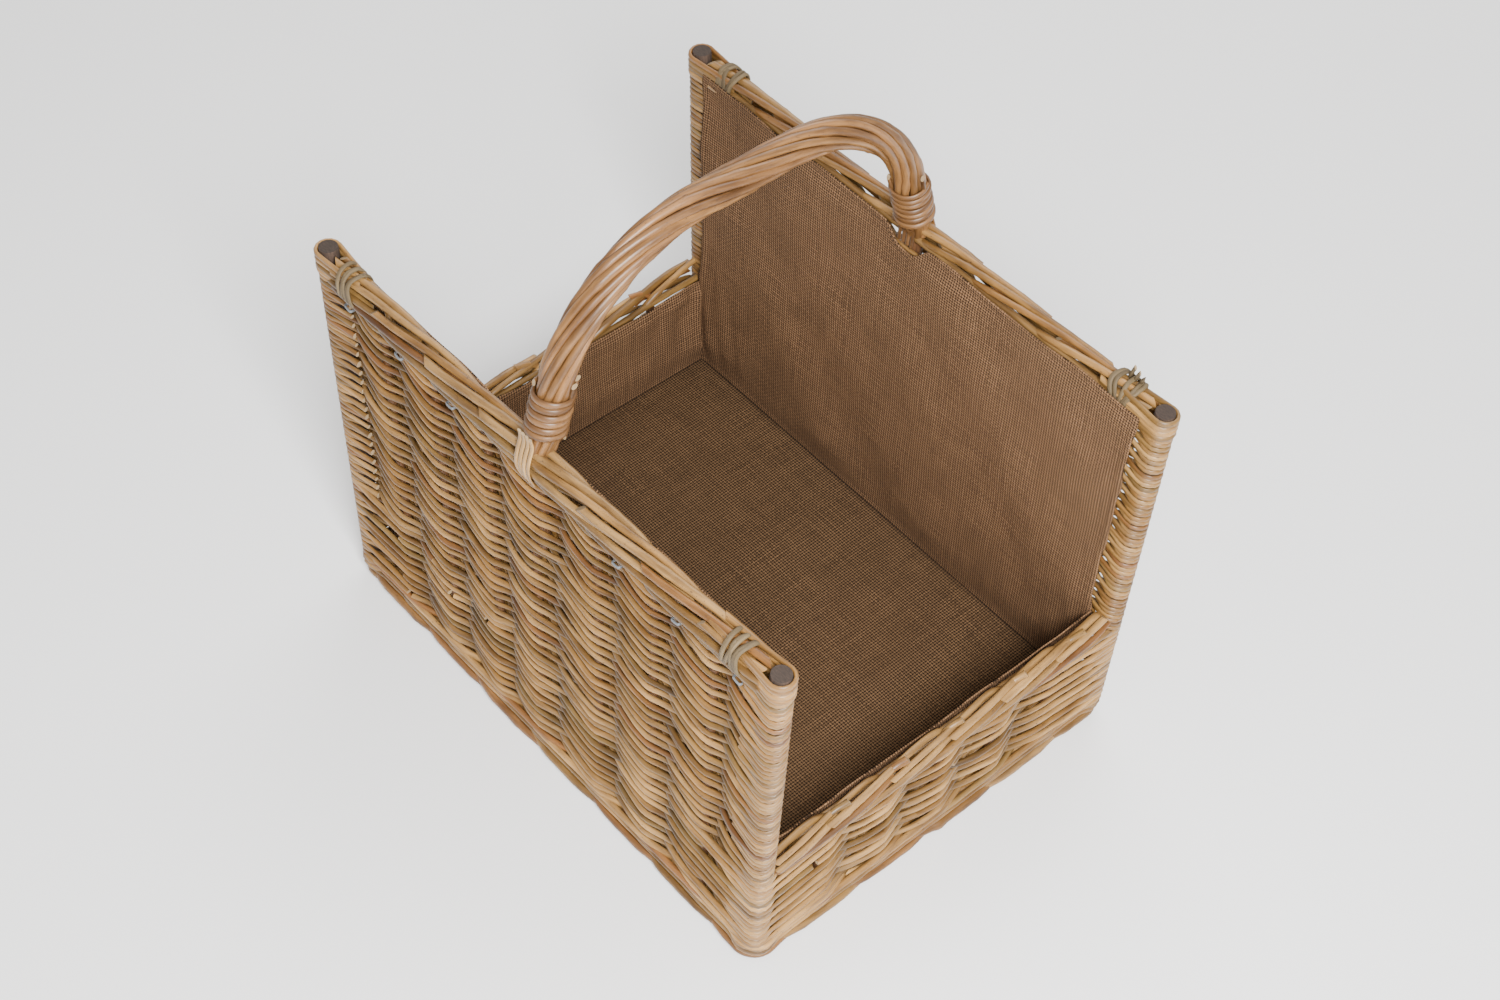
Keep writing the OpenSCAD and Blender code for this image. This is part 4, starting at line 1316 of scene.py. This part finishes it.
def cloth_mesh(name, grid, flat, seam, thickness, finish, node):
    """A sheet from a grid of points, with its flat place kept for the threads."""
    rows, columns = grid.shape[:2]
    tangent_u = np.gradient(grid, axis=1)
    tangent_v = np.gradient(grid, axis=0)
    normal = unit(np.cross(tangent_u, tangent_v))
    top = grid + normal * thickness / 2
    bottom = grid - normal * thickness / 2
    verts = np.vstack([top.reshape(-1, 3), bottom.reshape(-1, 3)])
    i, j = np.meshgrid(np.arange(rows - 1), np.arange(columns - 1), indexing="ij")
    a = (i * columns + j).ravel()
    count = rows * columns
    upper = np.stack([a, a + 1, a + columns + 1, a + columns], axis=-1)
    lower = np.stack([a, a + columns, a + columns + 1, a + 1], axis=-1) + count
    rim = np.concatenate([
        np.arange(columns), np.arange(1, rows) * columns + columns - 1,
        (rows - 1) * columns + np.arange(columns - 2, -1, -1),
        np.arange(rows - 2, 0, -1) * columns])
    following = np.roll(rim, -1)
    edge = np.stack([rim, rim + count, following + count, following], axis=-1)
    quads = np.vstack([upper, lower, edge])
    mesh = bpy.data.meshes.new(name)
    fill_mesh(mesh, verts, quads)
    place = np.vstack([flat.reshape(-1, 2)] * 2)
    put(mesh, "cloth", "FLOAT_VECTOR", "vector", np.column_stack([place, np.zeros(len(place))]))
    # The seam attribute holds painted shade along the cloth's foot and edges.
    put(mesh, "seam", "FLOAT", "value", np.tile(np.broadcast_to(seam, (rows, columns)).ravel(), 2))
    low, high = place.min(0), place.max(0)
    size = (high - low).max() * 2.1
    uv_point = (place - low) / size + 0.01
    uv_point[count:, 0 if (high - low)[0] < (high - low)[1] else 1] += 0.5
    put_map(mesh, uv_point[quads.ravel()])
    mesh.update()
    mesh.validate()
    return placed(name, mesh, finish, "hessian", node)


def field(rng, u, v, waves):
    """Smooth random relief over a sheet, with a spread of about 1."""
    total = np.zeros_like(u)
    for _ in range(7):
        angle = rng.uniform(0, np.pi)
        length = rng.uniform(*waves)
        across = u * math.cos(angle) + v * math.sin(angle)
        total += np.sin(2 * np.pi * across / length + rng.uniform(0, 6.283)) * rng.uniform(0.3, 0.7)
    return total / 1.3


def seam_rise(z, low_z):
    """How much the cloth stands in from the wall at the seam along its foot."""
    return np.clip(1 - (z - low_z) / (8 * MM), 0, 1) ** 2 * 1.5 * MM


def seam_shade(z, low_z):
    """Painted shade: darkest in the seam along the cloth's foot, and a little darker towards the bottom
    above it.
    """
    seam = np.exp(-(((z - low_z) / (3.5 * MM)) ** 2))
    return np.maximum(seam, 0.4 * np.exp((low_z - z) / (50 * MM)))


HEM = 5 * MM
HEM_RISE = 0.7 * MM


def build_floor_cloth():
    """The floor panel, lying on the base and turned up a little at its edges."""
    liner = bpy.context.scene.basket_liner
    rng = np.random.default_rng(101)
    low, high = FLOOR_BOX
    x = np.linspace(low.x + 1 * MM, high.x - 1 * MM, 150)
    y = np.linspace(low.y + 1 * MM, high.y - 1 * MM, 110)
    u, v = np.meshgrid(x, y)
    inset = np.minimum(high.x - np.abs(u), high.y - np.abs(v))
    relief = liner.ripple * 0.5 * (field(rng, u, v, (0.05, 0.16)) + 1.5)
    edge = np.clip(1 - inset / (9 * MM), 0, 1) ** 2
    z = low.z + liner.thickness / 2 + relief * np.clip(inset / (25 * MM), 0, 1) + edge * 1 * MM
    flat = np.stack([u, v], axis=-1)
    # Painted shade: the cloth darker along its edges, where it meets the walls.
    seam = np.exp(-((inset / (4 * MM)) ** 2))
    # The floor's finish is darker than the walls' hessian as painted shade.
    piece = cloth_mesh("liner_floor_cloth", np.stack([u, v, z], axis=-1), flat, seam,
                       liner.thickness, "shaded_floor_hessian", "liner_floor")
    return piece


def build_wall_cloth(side, name, node):
    """A long panel: narrow between the end walls, wider above them, and scooped at the handle."""
    liner = bpy.context.scene.basket_liner
    rng = np.random.default_rng(103 + side)
    low_z, high_z = FLOOR_BOX[1].z - 1.0 * MM, PANEL_BOX[1].z + 1.5 * MM
    v = np.linspace(0, 1, 150)[:, None]
    u = np.linspace(-1, 1, 220)[None, :]
    z_line = low_z + (high_z - low_z) * v
    narrow = post_x(z_line) - WALL_HALF - liner.thickness
    wide = post_x(z_line) - POST_R - 5.5 * MM
    t = np.clip((z_line - (END_TOP - 2 * MM)) / (16 * MM), 0, 1)
    half = narrow + (wide - narrow) * t * t * (3 - 2 * t)
    x = u * half
    scoop = 13 * MM * np.exp(-((x / (17 * MM)) ** 4))
    wavy = 1.2 * MM * smooth_noise(rng, x, 0.13, 2)
    z = low_z + (high_z - low_z - scoop + wavy) * v
    n = -(WALL_HALF + liner.thickness / 2 + 0.3 * MM)
    free = np.clip((z - low_z) / (30 * MM), 0, 1) * np.clip((high_z - z) / (18 * MM), 0.25, 1)
    relief = liner.ripple * (field(rng, x, z, (0.06, 0.22)) + 1.6) * free
    gather = np.clip((np.abs(x) - 0.16) / 0.06, 0, 1) * np.clip((0.2 - z) / 0.1, 0, 1)
    relief = relief + 1.6 * MM * gather * (1.3 + field(rng, x, 0.4 * z, (0.018, 0.05))) * free
    seam = seam_rise(z, low_z)
    dark = seam_shade(z, low_z)
    rim = np.minimum((1 - np.abs(u)) * half, (1 - v) * (high_z - low_z))
    hem = HEM_RISE * (rim < HEM)
    n = n - relief - seam - hem
    x = x + 0.7 * MM * smooth_noise(rng, z_line, 0.06, 2) * np.abs(u) ** 8 * np.sign(u)
    grid = on_long_wall(side, x, n, z)
    flat = np.stack([x, z], axis=-1)
    if side < 0:
        grid, flat, dark = grid[:, ::-1], flat[:, ::-1], dark[:, ::-1]
    piece = cloth_mesh(name, grid, flat, dark, liner.thickness, "hessian", node)
    share = float(half.mean() / half.max())
    return piece


def build_end_cloth(side, name, node):
    """A low panel of an end wall, gathered towards the corners."""
    liner = bpy.context.scene.basket_liner
    rng = np.random.default_rng(107 + side)
    low_z, high_z = FLOOR_BOX[1].z - 1.0 * MM, END_PANEL_BOX[1].z
    half = FLOOR_BOX[1].y - liner.thickness - 1.5 * MM
    v = np.linspace(0, 1, 60)[:, None]
    u = np.linspace(-1, 1, 150)[None, :]
    y = u * half + 0 * v
    wavy = 1.3 * MM * smooth_noise(rng, y, 0.12, 2) - 1.5 * MM
    z = low_z + (high_z - low_z + wavy) * v
    free = np.clip((z - low_z) / (25 * MM), 0, 1) * np.clip((high_z - z) / (12 * MM), 0.2, 1)
    relief = liner.ripple * (field(rng, y, z, (0.05, 0.15)) + 1.6) * free
    gather = np.clip((np.abs(y) - 0.09) / 0.05, 0, 1) * free
    relief = relief + 1.6 * MM * gather * (1.3 + field(rng, y, 0.5 * z, (0.018, 0.05)))
    seam = seam_rise(z, low_z)
    dark = seam_shade(z, low_z)
    rim = (1 - v) * (high_z - low_z)
    hem = HEM_RISE * (rim < HEM)
    n = -(WALL_HALF + liner.thickness / 2 + 0.3 * MM) - relief - seam - hem
    grid = on_end_wall(side, y, n, z)
    flat = np.stack([y, z], axis=-1)
    if side > 0:
        grid, flat, dark = grid[:, ::-1], flat[:, ::-1], dark[:, ::-1]
    piece = cloth_mesh(name, grid, flat, dark, liner.thickness, "hessian", node)
    return piece


# ---- staples ----


def build_staples():
    """Round-shouldered wire staples, each bent from one length."""
    rods = Rods("staple_wires", 111, sides=8)
    rng = rods.rng
    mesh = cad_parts["staples"].data
    co = np.array([v.co for v in mesh.vertices])
    z = (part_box("staples")[0].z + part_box("staples")[1].z) / 2
    for side in (-1, 1):
        xs = np.sort(np.unique(np.round(co[(co[:, 1] * side > 0)][:, 0], 5)))
        groups = np.split(xs, np.where(np.diff(xs) > 12 * MM)[0] + 1)
        for group in groups:
            x = (group[0] + group[-1]) / 2
            half = (group[-1] - group[0]) / 2 - 0.3 * MM
            tilt = rng.uniform(-0.25, 0.25)
            face = WALL_HALF + 1.1 * MM
            points = []
            for a, b in ((-1, -4.0), (-1, -1.2), (-0.9, -0.2), (-0.6, 0), (0, 0.1), (0.6, 0),
                         (0.9, -0.2), (1, -1.2), (1, -4.0)):
                points.append((x + half * a * math.cos(tilt), face + b * MM, z + half * a * math.sin(tilt)))
            pts = np.array(points)
            line = spline(on_long_wall(side, pts[:, 0], pts[:, 1], pts[:, 2]), 0.8 * MM)
            rods.add(line, None, (0.4, 0.42, 0.45), flat=(0.6 * MM, 1.35 * MM), up=UP)
    return rods.build("zinc", "zinc", "staples")


# ---- operators ----


class BASKET_OT_stage(bpy.types.Operator):
    """Set up the floor, the lights and the camera"""

    bl_idname = "basket.stage"
    bl_label = "Stage"

    def execute(self, context):
        stage = context.scene.basket_stage
        camera = bpy.data.cameras.new("camera")
        camera.lens = stage.lens
        camera.sensor_width = 36
        camera.clip_end = 50
        eye = bpy.data.objects.new("camera", camera)
        right = np.array([0.65314, 0.75660, 0.03106])
        look = np.array([-0.47705, 0.44297, -0.75908])
        upward = np.cross(right, look)
        eye.matrix_world = Matrix([
            [right[0], upward[0], -look[0], 0.92025],
            [right[1], upward[1], -look[1], -0.8343],
            [right[2], upward[2], -look[2], 1.61965],
            [0, 0, 0, 1]])
        context.scene.collection.objects.link(eye)
        context.scene.camera = eye

        floor_mesh = bpy.data.meshes.new("studio_floor")
        size = 6.0
        floor_mesh.from_pydata(
            [(-size, -size, 0), (size, -size, 0), (size, size, 0), (-size, size, 0)], [], [(0, 1, 2, 3)])
        floor_mesh.materials.append(floor_material())
        floor = bpy.data.objects.new("studio_floor", floor_mesh)
        context.scene.collection.objects.link(floor)

        world = bpy.data.worlds.new("studio")
        world.use_nodes = True
        background = world.node_tree.nodes["Background"]
        background.inputs["Color"].default_value = (1.0, 0.985, 0.96, 1)
        background.inputs["Strength"].default_value = stage.sky
        context.scene.world = world
        for name, place, aim, size, power in (
                ("key", (1.15, -0.7, 1.55), (0.0, 0.0, 0.2), 0.6, stage.key),
                ("side", (1.0, -0.62, 0.45), (0.22, -0.1, 0.18), 0.45, stage.key * 0.05),
                ("back", (-0.9, 1.3, 1.9), (0, 0, 0.2), 1.6, stage.key * 0.4)):
            lamp = bpy.data.lights.new(name, "AREA")
            lamp.size = size
            lamp.energy = power
            light = bpy.data.objects.new(name, lamp)
            light.location = place
            light.rotation_euler = (Vector(aim) - Vector(place)).to_track_quat("-Z", "Y").to_euler()
            context.scene.collection.objects.link(light)
        return {"FINISHED"}


class BASKET_OT_frame_sticks(bpy.types.Operator):
    """Finish the stakes and base sticks, and replace the posts with natural sticks"""

    bl_idname = "basket.frame_sticks"
    bl_label = "Frame Sticks"

    def execute(self, context):
        for name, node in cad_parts.items():
            if "_stake_" in name or name.startswith("base_stick_") or name == "handle_bow":
                node.data.materials.clear()
                node.data.materials.append(material("stake"))
        for front, side in FRONT_BACK:
            for left, end in LEFT_RIGHT:
                build_post(end, side, f"post_stick_{front}_{left}", f"post_{front}_{left}")
        return {"FINISHED"}


class BASKET_OT_weave(bpy.types.Operator):
    """Weave the walls and the tray"""

    bl_idname = "basket.weave"
    bl_label = "Weave"

    def execute(self, context):
        build_upper_weave(-1, "front_weave", "front_siding")
        build_upper_weave(1, "back_weave", "back_siding")
        build_tray_weave()
        return {"FINISHED"}


class BASKET_OT_base(bpy.types.Operator):
    """Weave the base, the wale and the foot border"""

    bl_idname = "basket.base"
    bl_label = "Base and Foot"

    def execute(self, context):
        build_wale()
        build_foot()
        build_base()
        return {"FINISHED"}


class BASKET_OT_borders(bpy.types.Operator):
    """Lay the four borders and bind the corners"""

    bl_idname = "basket.borders"
    bl_label = "Borders"

    def execute(self, context):
        for front, side in FRONT_BACK:
            build_long_border(side, f"{front}_border_rods", f"{front}_border")
            for left, end in LEFT_RIGHT:
                node = f"corner_binding_{front}_{left}"
                build_corner_binding(end, side, f"skeins_{front}_{left}", node)
        for left, side in LEFT_RIGHT:
            build_end_border(side, f"{left}_border_rods", f"{left}_border")
        return {"FINISHED"}


class BASKET_OT_handle(bpy.types.Operator):
    """Rope the handle and bind its feet"""

    bl_idname = "basket.handle"
    bl_label = "Handle"

    def execute(self, context):
        build_handle()
        for front, side in FRONT_BACK:
            build_foot_binding(side, f"{front}_binding_coil", f"{front}_handle_binding")
            build_ties(side, f"{front}_tie_strips", f"{front}_handle_ties")
        return {"FINISHED"}


class BASKET_OT_liner(bpy.types.Operator):
    """Line the basket with hessian"""

    bl_idname = "basket.liner"
    bl_label = "Liner"

    def execute(self, context):
        build_floor_cloth()
        build_wall_cloth(-1, "liner_front_cloth", "liner_front")
        build_wall_cloth(1, "liner_back_cloth", "liner_back")
        build_end_cloth(-1, "liner_left_cloth", "liner_left")
        build_end_cloth(1, "liner_right_cloth", "liner_right")
        return {"FINISHED"}


class BASKET_OT_staples(bpy.types.Operator):
    """Drive the staples under the long borders"""

    bl_idname = "basket.staples"
    bl_label = "Staples"

    def execute(self, context):
        build_staples()
        return {"FINISHED"}


OPERATORS = (
    BASKET_OT_stage, BASKET_OT_frame_sticks, BASKET_OT_weave, BASKET_OT_base,
    BASKET_OT_borders, BASKET_OT_handle, BASKET_OT_liner, BASKET_OT_staples)
SETTINGS = {
    "basket_weave": WeaveSettings, "basket_handle": HandleSettings, "basket_liner": LinerSettings,
    "basket_finish": FinishSettings, "basket_stage": StageSettings}


class BASKET_PT_panel(bpy.types.Panel):
    """The basket's settings and the steps that build it"""

    bl_idname = "BASKET_PT_panel"
    bl_label = "Wicker Log Basket"
    bl_space_type = "VIEW_3D"
    bl_region_type = "UI"
    bl_category = "Basket"

    def draw(self, context):
        for operator in OPERATORS:
            self.layout.operator(operator.bl_idname)
        for name, settings in SETTINGS.items():
            box = self.layout.box()
            for key in settings.__annotations__:
                box.prop(getattr(context.scene, name), key)


def register():
    for cls in (*SETTINGS.values(), *OPERATORS, BASKET_PT_panel):
        bpy.utils.register_class(cls)
    for name, settings in SETTINGS.items():
        setattr(bpy.types.Scene, name, bpy.props.PointerProperty(type=settings))


def unregister():
    for name in SETTINGS:
        delattr(bpy.types.Scene, name)
    for cls in (BASKET_PT_panel, *OPERATORS, *SETTINGS.values()):
        bpy.utils.unregister_class(cls)


def main():
    register()
    bpy.ops.basket.stage()
    bpy.ops.basket.frame_sticks()
    bpy.ops.basket.weave()
    bpy.ops.basket.base()
    bpy.ops.basket.borders()
    bpy.ops.basket.handle()
    bpy.ops.basket.liner()
    bpy.ops.basket.staples()


if __name__ == "__main__":
    main()
